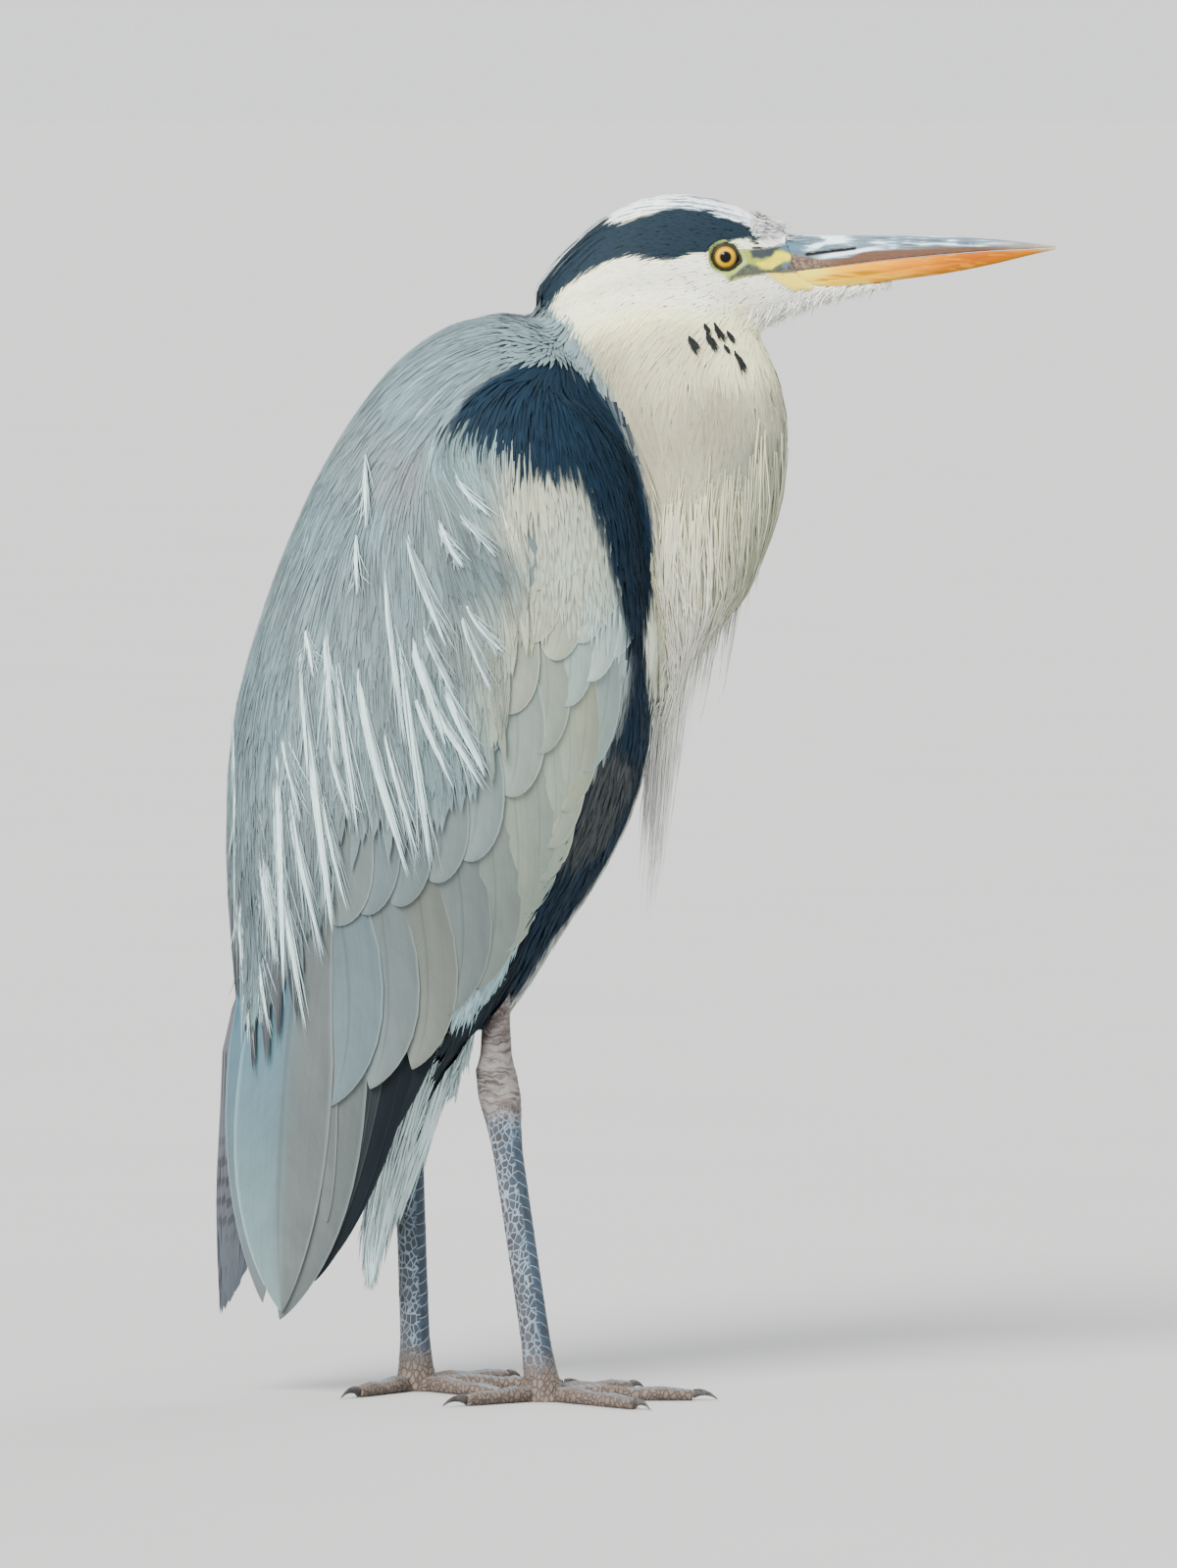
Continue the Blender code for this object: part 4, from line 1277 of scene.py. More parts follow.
bill = {
    "grain": 0.0005,
    # lines along the bill in side view, in millimetres: mouth, ridge, lower edge, and foot of the pale side
    "gape": ([58, 80.6, 94.2, 116.4, 136.6, 163.6, 194.6, 202],
             [540.5, 541.4, 543.8, 546.9, 548.7, 550.2, 553, 553.4]),
    "foot": ([58, 76, 110, 160, 202], [531, 531, 534.5, 544.5, 553]),
    "band": ([76, 86, 96, 110, 130, 150, 170, 202], [549.6, 548.6, 547.6, 551, 552.8, 553.2, 553.8, 553.9]),
    "nostril": ((82.6, 550.0), (105.5, 552.9)),
}
billTones = {
    "steel": (0.22, 0.32, 0.40), "glint": (0.80, 0.86, 0.90), "grey": (0.36, 0.43, 0.48),
    "deep": (0.17, 0.19, 0.24), "umber": (0.30, 0.17, 0.11), "fleck": (0.54, 0.50, 0.42),
    "mauve": (0.50, 0.46, 0.44), "nostril": (0.035, 0.024, 0.024), "cream": (0.90, 0.77, 0.40),
    "gold": (0.82, 0.62, 0.20), "orange": (0.76, 0.48, 0.08), "amber": (0.66, 0.33, 0.05),
    "rose": (0.66, 0.42, 0.22), "ochre": (0.66, 0.45, 0.14), "tip": (0.60, 0.56, 0.48),
}


def slotDistance(x, z, line):
    (ax, az), (bx, bz) = line
    t = ((x - ax) * (bx - ax) + (z - az) * (bz - az)) / ((bx - ax) ** 2 + (bz - az) ** 2)
    t = np.clip(t, 0, 1)
    return np.hypot(x - ax - t * (bx - ax), z - az - t * (bz - az))


def billMarkings(places, upper):
    x, y, z = (places / mm).T
    gape = np.interp(x, *bill["gape"])
    fine = cloud(x, z + 0.3 * y, 7.0, 0.55, 1)
    broad = cloud(x, z + 0.3 * y, 16.0, 1.1, 2)
    fleck = cloud(x, z, 0.9, 0.7, 3)
    if upper:
        # the glint tone is a painted highlight: laid on the light streaks, at the top near the base (shine)
        # and in a line below the nostril (rim)
        streak = 0.6 * fine + 0.4 * broad
        shine = smoothstep(79, 84, x - 3 * fleck) * smoothstep(108, 98, x)
        shine = shine * smoothstep(551.6, 553.6, z - 0.02 * (x - 84))
        ridge = np.interp(x, [88, 95, 108, 122], [548.6, 549.6, 551.8, 554.4])
        rim = smoothstep(1.4, 0.6, np.abs(z - ridge)) * smoothstep(84, 92, x) * smoothstep(128, 110, x)
        low = smoothstep(0.5, -0.5, z - np.interp(x, *bill["band"]) + 1.4 * (broad - 0.5))
        return paintOver(np.tile(np.array(billTones["grey"]), (len(x), 1)), billTones, [
            ("glint", smoothstep(0.52, 0.78, streak)),
            ("deep", smoothstep(0.42, 0.25, streak) * 0.7),
            ("glint", shine * smoothstep(0.22, 0.45, cloud(x - 1.3 * z, z, 5.5, 3.0, 4))),
            ("steel", smoothstep(84, 79, x + 2 * fleck) * smoothstep(549, 550.5, z)),
            ("glint", rim),
            ("umber", low),
            ("fleck", 0.6 * low * smoothstep(100, 84, x) * smoothstep(0.42, 0.6, fleck)),
            ("deep", 0.6 * low * smoothstep(96, 84, x) * smoothstep(0.42, 0.3, fleck)),
            ("mauve", smoothstep(165, 185, x) * 0.7),
            ("tip", smoothstep(186, 199, x) * 0.8),
            # the nostril's slit painted near black, as painted shade in its groove
            ("nostril", smoothstep(0.95, 0.45, slotDistance(x, z, bill["nostril"]))),
        ])
    low = np.clip((gape - z) / (gape - np.interp(x, *bill["foot"]) + 0.5), 0, 1)
    crease = smoothstep(0.16, 0.05, np.abs(low - 0.42)) * smoothstep(84, 94, x) * smoothstep(126, 108, x)
    # pale patches low on the side of the lower mandible, a painted glint
    pale = smoothstep(0.5, 0.8, low) * smoothstep(92, 100, x) * smoothstep(150, 118, x)
    return paintOver(np.tile(np.array(billTones["orange"]), (len(x), 1)), billTones, [
        ("gold", smoothstep(138, 112, x + 14 * (broad - 0.5))),
        ("cream", smoothstep(108, 84, x + 10 * (fine - 0.5))),
        ("ochre", crease * smoothstep(0.3, 0.6, fine)),
        ("cream", pale * smoothstep(0.35, 0.6, broad)),
        ("amber", smoothstep(138, 160, x)),
        ("rose", smoothstep(0.7, 1.0, low) * smoothstep(110, 130, x) * 0.8),
        ("cream", smoothstep(0.66, 0.8, fine) * smoothstep(130, 145, x) * 0.35),
        ("rose", smoothstep(176, 190, x) * 0.8),
        ("tip", smoothstep(190, 200, x) * 0.8),
    ])


def billPaint(name, stretch, gloss):
    paint = Paint(name)
    tint = paint.attribute("tint", "Color")
    x, y, z = paint.split(paint.place())
    streaks = paint.noise(paint.join(x * 60, y * 700, z * 700), 1.0, 4.0, 0.65)
    grain = paint.noise(paint.join(x * 420, y * 900, z * 900), 1.0, 3.0)
    light = 1.0 + (streaks - 0.5) * stretch + (grain - 0.5) * stretch * 0.7
    paint.bump(streaks + grain * 0.5, 0.00025, 0.5)
    return paint.finish(paint.shade(tint, light), 0.34 + grain * 0.25, gloss)


def makeBill():
    for node, upper, stretch, gloss, slot in (("bill_upper", True, 0.5, 0.24, "horn"),
                                              ("bill_lower", False, 0.22, 0.06, "bill_orange")):
        half = copyOf([node], node + "Shape")
        remesh(half, bill["grain"], 4)
        places, normals = spots(half), vertexNormals(half)
        x, y, z = (places / mm).T
        if upper:
            groove = smoothstep(1.3, 0.3, slotDistance(x, z, bill["nostril"])) * 0.0011
            crease = slotDistance(x, z, (bill["nostril"][1], (160, 555)))
            groove += smoothstep(1.6, 0.2, crease) * 0.0003
            places -= normals * (groove * (np.abs(y) > 1.5))[:, None]
        else:
            crease = np.abs(z - (np.interp(x, *bill["gape"]) * 0.45 + np.interp(x, *bill["foot"]) * 0.55))
            places -= normals * (smoothstep(1.2, 0.1, crease) * 0.0002 * smoothstep(190, 150, x))[:, None]
        setSpots(half, places)
        colours = pigment(billMarkings(places, upper))
        store(half.data, "tint", "FLOAT_COLOR", np.c_[colours, np.ones(len(colours))])
        half.data.materials.append(billPaint(node + "Paint", stretch, gloss))
        half.data.shade_smooth()
        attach(half, "root")
        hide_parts(node)
    print("bill set")


def stand(coat, roots, ways, length, width, bend, tints, faceTo):
    # free feathers that leave the body, bending as they go
    count = len(roots)
    marks = coat.marks[None, :, None]
    path = roots[:, None] + (unit(ways)[:, None] * marks + bend[:, None] * marks**2) * length[:, None, None]
    run = unit(np.gradient(path, axis=1))
    sides = np.cross(run[:, :1], faceTo[:, None]) + 0.02 * dice.normal(size=(count, 1, 3))
    sides = unit(sides - run * (run * sides).sum(2, keepdims=True))
    tops = np.cross(sides, run)
    half = 0.5 * np.full((count, 1), width) * vaneShape("lance", coat.shares)
    middle = path[:, :-1, None] + sides[:, :-1, None] * (half[:, :, None] * coat.columns)[..., None]
    # the roots a little darker, as painted shade where the feathers leave the body
    four = np.stack([tints * 0.9, tints, tints * 0.9, tints], axis=1)
    coat.add(middle, path[:, -1], tops[:, :-1], half, four, length)


loose = {
    "stations": 5, "thickness": 0.00016,
    "chin": {
        "count": 2200, "width": 0.0008, "clump": 4.0, "start": 44, "run": 82,
        # places along, and at each the height of the roots and how far the tufts hang, in millimetres
        "along": [46, 62, 80, 100, 124],
        "heights": [521, 524, 529.5, 533.5, 537],
        "reaches": [10, 10, 8, 5, 2],
    },
    "forehead": {"count": 1500, "length": 0.0092, "width": 0.0011, "start": 55, "run": 21},
}
throat = {
    "stations": 5, "thickness": 0.00018, "camber": 0.05,
    "count": 46, "width": 0.0012, "way": (0.42, 0.0, -0.9),
    "look": {"shape": "lance", "sink": 0.0001, "lift": 0.0007, "fluff": 0.0002, "vary": 0.3, "swerve": 0.05},
    # middle of each mark in side view and its length, in millimetres
    "marks": [(27.6, 507.5, 8.0), (37.2, 509.6, 8.6), (43.0, 514.8, 8.4), (50.4, 514.0, 6.0),
              (54.0, 501.6, 9.4), (35.4, 516, 4.6), (46.4, 507, 4.4)],
}
napeHairs = {
    "stations": 6, "thickness": 0.00016, "camber": 0.05, "count": 60, "length": 0.018, "width": 0.0006,
    "look": {"shape": "hair", "sink": 0.0006, "lift": 0.0012, "fluff": 0.0010, "vary": 0.2, "swerve": 0.05},
}


def layChin(coat, plan):
    # hair-like feathers that hang from the chin in small clumps
    count = plan["count"]
    x = plan["start"] + plan["run"] * dice.random(count) ** 1.2
    foot, reach = (np.interp(x, plan["along"], plan[key]) for key in ("heights", "reaches"))
    y = dice.normal(size=count) * np.interp(x, [46, 80, 124], [7.0, 4.5, 1.6])
    roots, _ = faceForm.settle(np.c_[x, y, foot] * mm)
    knot = (np.floor(x / plan["clump"]) + 0.35) * plan["clump"] - 3
    aimed = np.c_[knot, y * 0.8, foot - reach * (0.75 + 0.5 * cloud(knot, y, 3.0, 4.0, 2))] * mm
    ways = unit(aimed - roots + dice.normal(size=(count, 3)) * 0.0016)
    length = np.linalg.norm(aimed - roots, axis=1) * (0.75 + 0.4 * dice.random(count))
    bend = np.c_[-0.25 + 0.15 * dice.normal(size=count), 0 * x, 0.1 * dice.normal(size=count)]
    tints = jitter(np.repeat(tonePaint("chin")[None], count, axis=0), 0.10)
    facing = np.c_[0.2 + 0 * x, np.where(y > 0, 1.0, -1.0), -0.2 + 0 * x]
    stand(coat, roots, ways, length, plan["width"], bend, tints, facing)


def layForehead(coat, plan):
    # short curled feathers that stand up over the root of the bill
    count = plan["count"]
    x = plan["start"] + plan["run"] * dice.random(count)
    y = (dice.random(count) * 2 - 1) * np.interp(x, [54, 76], [13, 7.0])
    roots, tops = faceForm.settle(np.c_[x, y * 1.2, 569 - 0.35 * (x - 55) - 0.055 * y**2] * mm)
    swirl = 2 * math.pi * (1.6 * cloud(x, y, 5.5, 5.5, 3) - 0.8) + 0.35 * dice.normal(size=count)
    ways = unit(tops * np.interp(x, [54, 64, 76], [0.25, 0.6, 0.35])[:, None]
                + np.c_[0.3 + 0.8 * np.cos(swirl), 0.8 * np.sin(swirl), 0.1 + 0 * x])
    turned = swirl + 1.5
    bend = np.c_[np.cos(turned), np.sin(turned), 0 * x] * 0.5 - tops * 0.4
    pale = smoothstep(0.05, 0.45, cloud(x, y, 1.6, 1.6, 4))[:, None] * (0.75 + 0.25 * dice.random((count, 1)))
    tints = tonePaint("foreheadGrey") * (1 - pale) + tonePaint("foreheadPale") * pale
    length = plan["length"] * (0.5 + 0.5 * dice.random(count)) * np.interp(np.abs(y), [0, 5, 13], [1, 1, 0.6])
    facing = tops + np.c_[0 * x, np.where(y > 0, 0.6, -0.6), 0 * x]
    stand(coat, roots - tops * 0.0004, ways, length, plan["width"], bend, tints, facing)


def makeLooseTufts():
    coat = Coat("looseTufts", loose, axis="x", free=True)
    layChin(coat, loose["chin"])
    layForehead(coat, loose["forehead"])
    coat.build("plume", "plumage_white")


def makeThroatMarks():
    coat = Coat("throatMarks", throat, axis="x")
    way, count = unit(np.array(throat["way"])), throat["count"]
    for x, z, long in throat["marks"]:
        for side in (-1, 1):
            spread = dice.normal(size=(count, 2)).clip(-1.5, 1.5) * (long * 0.12, long * 0.05)
            middle = np.c_[x + spread[:, 0], np.full(count, side * 30.0), z + spread[:, 1]] * mm
            each = long * mm * (1.15 - 0.65 * np.abs(spread[:, 0]) / (long * 0.18))
            roots, _ = form.settle(middle - way * each[:, None] * 0.5)
            tint, heading = (np.repeat(one[None], count, axis=0) for one in (tonePaint("throatMark"), way))
            comb(coat, form, roots, each, throat["width"], throat["look"], tint, heading)
    coat.build("plume", "plumage_white")


def makeNapeHairs():
    coat = Coat("napeHairs", napeHairs, axis="x")
    count = napeHairs["count"]
    x = -6 - 34 * dice.random(count)
    roots, _ = faceForm.settle(np.c_[x, dice.normal(size=count) * 8, 560 + (x + 8) * 0.75] * mm)
    pale = (dice.random(count) < 0.15)[:, None]
    tint = np.where(pale, tonePaint("napePale"), tonePaint("napeDark"))
    comb(coat, form, roots, napeHairs["length"], napeHairs["width"], napeHairs["look"], tint)
    coat.build("plume", "plumage_white")


# front edge of the folded wing: height and place along
wingEdge = ([180, 200, 225, 251, 265, 277, 297, 312, 325, 333, 370, 408, 440],
            [-76, -58, -49, -43, -35, -31, -24, -14, -6.5, -4, 1, 1.5, 0])


def wingZone(x, y, z):
    # share by which places belong to the folded wing rather than to the mantle
    return inside("wing", x, z, 2.0) * (np.abs(y) > 24)


def growDown(x, y, z):
    beyondWing = (z > covertTips(x) + 24) | (np.abs(y) < 30) | (x > -30)
    return (z > 206) * ((z < 516) | (x < -38)) * beyondWing * 1.0


def growMantle(x, y, z):
    body = (z > 196) & (inside("neck", x, z, 1.0) < 0.5) & ((z < 519) | (x < -38))
    front = inside("belly", x, z, 1.0) + (x > -12) * (z < 372)
    wing = wingZone(x, y, z) + inside("shoulderRoots", x, z, 1.0) * (np.abs(y) > 16)
    collar = (x > -46) & (z > 490) & (np.abs(y) > 12)
    return body * np.clip(1 - front - wing - collar, 0, 1)


def growShoulder(x, y, z):
    return inside("shoulderRoots", x, z - 1.5, 1.0) * (np.abs(y) > 14)


def growLesser(x, y, z):
    zone = wingZone(x, y, z) * (z > 376)
    collar = (x > -60) & (z > 488) & (z < 520) & (np.abs(y) > 8) & (inside("neck", x, z, 1.0) < 0.5)
    collar = collar * (1 - inside("shoulderRoots", x, z - 3, 1.0))
    return np.maximum(zone * smoothstep(372, 408, z + 8 * np.sin(x * 0.21)) * (x > -62), collar)


def growBelly(x, y, z):
    ahead = (x > np.interp(z, *wingEdge) - 12) & (inside("neck", x, z, 1.0) < 0.5)
    return ahead * (z < 380) * (z > 165) * 1.0


def growNeck(x, y, z):
    return inside("neck", x, z, 1.0) * smoothstep(524, 512, z) * (z > 338)


def growFace(x, y, z):
    bare = bareShare(np.c_[x, y, z] * mm)
    return smoothstep(500, 517, z) * (inside("neck", x, z, 1.0) > 0.5) * (bare < 0.4)


def byHeight(*sizes):
    # a size in millimetres that changes up the neck
    return lambda places: np.interp(places[:, 2] / mm, [330, 420, 480, 520], sizes) * mm


def byLength(*sizes):
    # a size in millimetres that changes from nape to chin
    return lambda places: np.interp(places[:, 0] / mm, [-45, 0, 45, 60, 110], sizes) * mm


def atCollar(short, long):
    return lambda places: np.where(places[:, 2] / mm > 486, short, long) * mm


# where each tract grows, tries at placing feathers, their distance and size in metres, and how they lie
tracts = {
    "bodyDown": {
        "grow": growDown, "tries": 14000, "stations": 4, "thickness": 0.0003, "camber": 0.04,
        "gap": 0.0056, "length": 0.025, "width": 0.013, "paint": "down",
        "look": {"shape": "round", "sink": -0.0018, "lift": -0.0005, "vary": 0.04, "rootShade": 0.95,
                 "winged": 0.0016},
    },
    "mantleCoat": {
        "grow": growMantle, "tries": 16000, "stations": 5, "thickness": 0.0003, "camber": 0.03,
        "gap": 0.0042, "length": 0.038, "width": 0.0090, "paint": "down",
        "look": {"shape": "lance", "sink": -0.0010, "lift": 0.0005, "fluff": 0.0003,
                 "vary": 0.08, "swerve": 0.04, "rootShade": 0.95, "tipShare": 0.2, "over": 0.0025},
    },
    "mantleHair": {
        "grow": growMantle, "tries": 34000, "stations": 4, "thickness": 0.00016, "camber": 0.03,
        "gap": 0.0025, "length": 0.032, "width": 0.0007,
        "look": {"shape": "hair", "sink": -0.0002, "lift": 0.0009, "fluff": 0.0004,
                 "vary": 0.30, "swerve": 0.035, "rootShade": 1.0, "tipShare": 0.0, "over": 0.0026},
    },
    "shoulderCoat": {
        "grow": growShoulder, "tries": 16000, "stations": 5, "thickness": 0.00018, "camber": 0.12,
        "gap": 0.0018, "length": 0.027, "width": 0.0022,
        "look": {"shape": "hair", "sink": 0.0002, "lift": 0.0024, "fluff": 0.0005,
                 "vary": 0.20, "swerve": 0.04, "rootShade": 0.9, "tipShare": 0.0, "uneven": 0.25},
    },
    "lesserCoat": {
        "grow": growLesser, "tries": 16000, "stations": 4, "thickness": 0.00018, "camber": 0.12,
        "gap": atCollar(1.6, 2.6), "length": atCollar(9.0, 16.0), "width": 0.0026,
        "look": {"shape": "hair", "sink": 0.0003, "lift": 0.0019, "fluff": 0.0003,
                 "vary": 0.06, "swerve": 0.05, "rootShade": 0.97, "tipShare": 0.1},
    },
    "bellyCoat": {
        "grow": growBelly, "tries": 22000, "stations": 4, "thickness": 0.00018, "camber": 0.12,
        "gap": 0.0024, "length": 0.022, "width": 0.0036,
        "look": {"shape": "hair", "sink": -0.0010, "lift": 0.0008, "fluff": 0.0005,
                 "vary": 0.30, "swerve": 0.07, "rootShade": 0.9, "tipShare": 0.0, "uneven": 0.25,
                 "edgeLow": 0.0018},
    },
    "neckCoat": {
        "grow": growNeck, "tries": 30000, "stations": 4, "thickness": 0.00016, "camber": 0.12,
        "gap": byHeight(1.9, 1.8, 1.6, 1.4), "length": byHeight(32, 24, 18, 10),
        "width": byHeight(2.1, 2.0, 1.8, 1.4), "slot": "plumage_white",
        "look": {"shape": "hair", "sink": -0.0004, "lift": -0.0001, "fluff": 0.00025,
                 "vary": 0.09, "swerve": 0.06, "rootShade": 0.97, "tipShare": 0.2},
    },
    "faceCoat": {
        "grow": growFace, "tries": 110000, "stations": 3, "thickness": 0.00016, "camber": 0.1,
        "gap": byLength(1.3, 1.15, 0.88, 0.84, 1.0), "length": byLength(11, 8.5, 5.0, 4.6, 5.2),
        "width": byLength(1.7, 1.4, 1.05, 1.0, 1.1), "slot": "plumage_white",
        "look": {"shape": "hair", "sink": -0.0003, "lift": 0.0, "fluff": 0.0001,
                 "vary": 0.04, "swerve": 0.06, "rootShade": 0.97, "tipShare": 0.1},
    },
}


def layTract(name):
    plan = tracts[name]
    onFace = name == "faceCoat"
    ground = faceForm if onFace else form
    coat = Coat(name, plan, axis="x" if onFace else "z")
    roots = sprinkle(ground, lambda places: plan["grow"](*(places / mm).T), plan["gap"], plan["tries"])
    length, width = (size(roots) if callable(size) else size for size in (plan["length"], plan["width"]))
    look = dict(plan["look"])
    x, y, z = (roots / mm).T
    if "winged" in look:  # lies lower under the rows of the wing
        lowered = wingZone(x, y, z) * look["winged"]
        look["sink"], look["lift"] = look["sink"] - lowered * 0.5, look["lift"] - lowered
    if "edgeLow" in look:  # tucks in under the front edge of the wing
        near = smoothstep(8, -3, x - np.interp(z, *wingEdge))
        look["sink"], look["lift"] = look["sink"] - near * 0.0006, look["lift"] - near * look["edgeLow"]
    if "over" in look:  # hangs over the rows of the wing
        raised = inside("scapular", x, z, 14.0) * smoothstep(14, 30, np.abs(y)) * look["over"]
        look["sink"], look["lift"] = look["sink"] + raised * 0.8, look["lift"] + raised
    comb(coat, ground, roots, length, width, look)
    coat.build(plan.get("paint", "plume"), plan.get("slot", "plumage_grey"))


# wing coverts on one side: tip x, z, root x, z and width in millimetres, hindmost first
covertRows = [
    [(-146, 142, -146, 262, 33), (-127, 150, -124, 252, 30), (-107, 161, -107, 260, 29),
     (-91, 186, -89, 276, 28), (-76, 198, -72, 288, 26), (-65, 218, -60, 301, 24), (-54, 236, -50, 313, 21),
     (-46, 252, -41, 324, 20), (-41, 269, -32, 336, 18), (-35, 285, -23, 347, 16),
     (-25, 305, -13, 366, 14)],
    [(-145, 229, -147, 310, 27), (-129, 238, -131, 318, 25), (-115, 237, -117, 321, 25),
     (-98, 251, -99, 332, 25), (-81, 263, -84, 342, 25), (-62, 295, -64, 372, 25), (-48, 313, -47, 384, 22),
     (-36, 337, -41, 408, 22), (-23, 348, -21, 407, 19), (-12, 360, -8, 412, 15)],
    [(-117, 281, -118, 350, 22), (-98, 295, -98, 360, 22), (-79, 314, -80, 378, 22),
     (-63, 336, -64, 398, 22), (-52, 368, -50, 430, 22), (-40, 360, -38, 420, 20), (-28, 367, -30, 424, 20),
     (-17, 378, -14, 432, 16)],
    [(-60, 389, -60, 438, 19), (-49, 395, -47, 444, 19), (-37, 397, -35, 448, 18), (-25, 399, -22, 450, 17),
     (-14, 393, -10, 442, 14)],
]
covertPlan = {
    "stations": 13, "columns": 9, "thickness": 0.0004, "camber": 0.03, "crowd": 2.2,
    "bend": 0.10, "rootUp": 6, "tilt": 1.0, "pointed": 5,
    # how far a feather lies over the row and the feather before it, and over the front edge, in millimetres
    "rowStep": 0.32, "featherStep": 0.14, "frontStep": 0.9,
    # shades of back root, back tip, front root and front tip, the roots darker as painted shade under the
    # feathers that overlap them
    "shades": (0.72, 1.0, 0.76, 1.04),
    "look": {"sink": -0.0013, "lift": -0.0001},
}
flightVanes = [
    # spine, width and level in millimetres, tones of back root, back tip, front root and front tip
    ([(-84, 222), (-102, 168), (-125, 130), (-137, 104)], 19, -2.4, "slate slate slate slate"),
    ([(-98, 222), (-118, 145), (-139, 92), (-150, 63)], 21, -2.0, "slate slate navyGrey slate"),
    ([(-108, 222), (-125, 142), (-141, 90), (-154, 57)], 22, -1.6, "slate slate navyGrey slate"),
    ([(-120, 222), (-134, 142), (-150, 86), (-160, 50)], 25, -1.2, "slate slate slateGrey slate"),
    ([(-130, 222), (-140, 150), (-150, 95), (-160, 60)], 30, -0.8, "slateGrey slate slate slateGrey"),
    ([(-140, 222), (-147, 140), (-152, 85), (-171, 38)], 37, -0.3, "wingGrey wingGrey wingGrey wingGrey"),
    ([(-176, 232), (-188, 160), (-187, 100), (-179, 46)], 24, 0.0, "wingBlue wingGrey wingBlue wingGrey"),
    ([(-150, 228), (-160, 155), (-158, 112), (-148, 86)], 28, 0.5, "wingGrey wingGrey wingGrey wingGrey"),
    ([(-158, 240), (-170, 150), (-174, 95), (-170, 42)], 46, 1.1, "wingBlue wingPale wingGrey wingGrey"),
]
flightPlan = {
    "stations": 20, "columns": 11, "thickness": 0.0004, "camber": 0.03, "crowd": 2.3,
    "look": {"shape": "blade", "sink": -0.0004, "lift": 0.0, "tilt": 0.0006},
}


def makeWingCoat():
    plan = covertPlan
    coverts = Coat("wingCoverts", plan)
    for side in (-1, 1):
        for r, row in enumerate(covertRows):
            look = dict(plan["look"], tilt=(plan["tilt"] - 0.2 * r) * mm)
            for k, (tipX, tipZ, rootX, rootZ, width) in enumerate(row):
                wobble = dice.normal(size=4) * (0.5, 1.0, 0.5, 1.0) * (1 + 0.6 * r if side < 0 else 2)
                look["shape"] = "blade" if r == 0 and k < plan["pointed"] else "round"
                root = np.array((rootX + wobble[2], rootZ + wobble[3] + plan["rootUp"]))
                tip = np.array((tipX + wobble[0], tipZ + wobble[1]))
                run = np.linalg.norm(tip - root)
                bow = np.array((run * plan["bend"], 0))
                spine = [root, (root + tip) / 2 + bow, tip + (root - tip) * 0.22 + bow, tip]
                middle = np.array([[(root[0] + tip[0]) / 2], [tip[1] + run * 0.2]])
                tone = jitter(pigment(softTones(wingTones, *middle)), 0.07, 0.035)[0]
                level = plan["rowStep"] * min(r, 2) + plan["featherStep"] * (8 - k)
                level += plan["frontStep"] * smoothstep(-60, -15, rootX) * (r < 3)
                wide = width * (1 + 0.1 * dice.random() * r)
                vane(coverts, side, spine, wide, look, [tone * shade for shade in plan["shades"]], level * mm)
    coverts.build("vane", "plumage_grey")
    flight = Coat("flightFeathers", flightPlan)
    for side in (-1, 1):
        for spine, width, level, names in flightVanes:
            a, b, c, d = (tonePaint(name) for name in names.split())
            # the roots darker by a fifth, as painted shade under the feathers that overlap them
            vane(flight, side, spine, width, flightPlan["look"], (a * 0.8, b, c * 0.8, d), level * mm)
    flight.build("vane", "plumage_grey", grid=5)


# long white plumes that hang over one wing: start and end in side view and width, in millimetres
plumes = [
    (-120, 410, -110, 317, 2.6), (-134, 360, -109, 252, 5.2), (-105, 345, -86, 297, 3.0),
    (-106, 372, -90, 317, 4.4), (-91, 350, -71, 303, 4.2), (-83, 382, -68, 341, 2.0),
    (-143, 366, -132, 274, 3.4), (-157, 345, -144, 225, 4.6), (-172, 345, -168, 198, 5.0),
    (-176, 300, -158, 179, 3.6), (-193, 330, -185, 171, 3.2), (-86, 446, -69, 426, 1.6),
    (-94, 424, -83, 402, 1.8), (-81, 385, -63, 360, 1.8), (-109, 420, -90, 362, 3.4),
    (-112, 372, -97, 256, 4.4), (-129, 456, -128, 421, 1.4), (-133, 418, -132, 389, 2.0),
    (-148, 380, -143, 305, 2.4), (-160, 372, -156, 300, 2.2), (-100, 348, -72, 296, 3.6),
    (-93, 424, -82, 401, 2.0), (-181, 290, -172, 210, 2.6), (-166, 300, -150, 214, 2.4),
    (-120, 330, -103, 262, 2.0), (-186, 260, -176, 178, 2.4), (-150, 300, -138, 236, 2.0),
    (-84, 430, -66, 408, 1.4), (-169, 326, -159, 280, 2.4), (-147, 322, -136, 282, 1.6),
    (-183, 342, -189, 242, 2.2), (-184, 304, -176, 231, 2.0), (-158, 380, -153, 351, 1.8),
    (-147, 378, -145, 332, 2.2), (-101, 376, -85, 338, 1.6), (-190, 250, -187, 190, 2.6),
]
plumePlan = {
    "stations": 9, "thickness": 0.00019, "camber": 0.10, "strips": 1.6, "spread": 0.72, "level": 0.5,
    "look": {"shape": "lance", "sink": 0.0018, "lift": 0.0050, "risePower": 0.4},
}
strandPlan = {"stations": 7, "thickness": 0.00019, "camber": 0.1, "each": 28, "width": 0.6, "fan": 3.2}


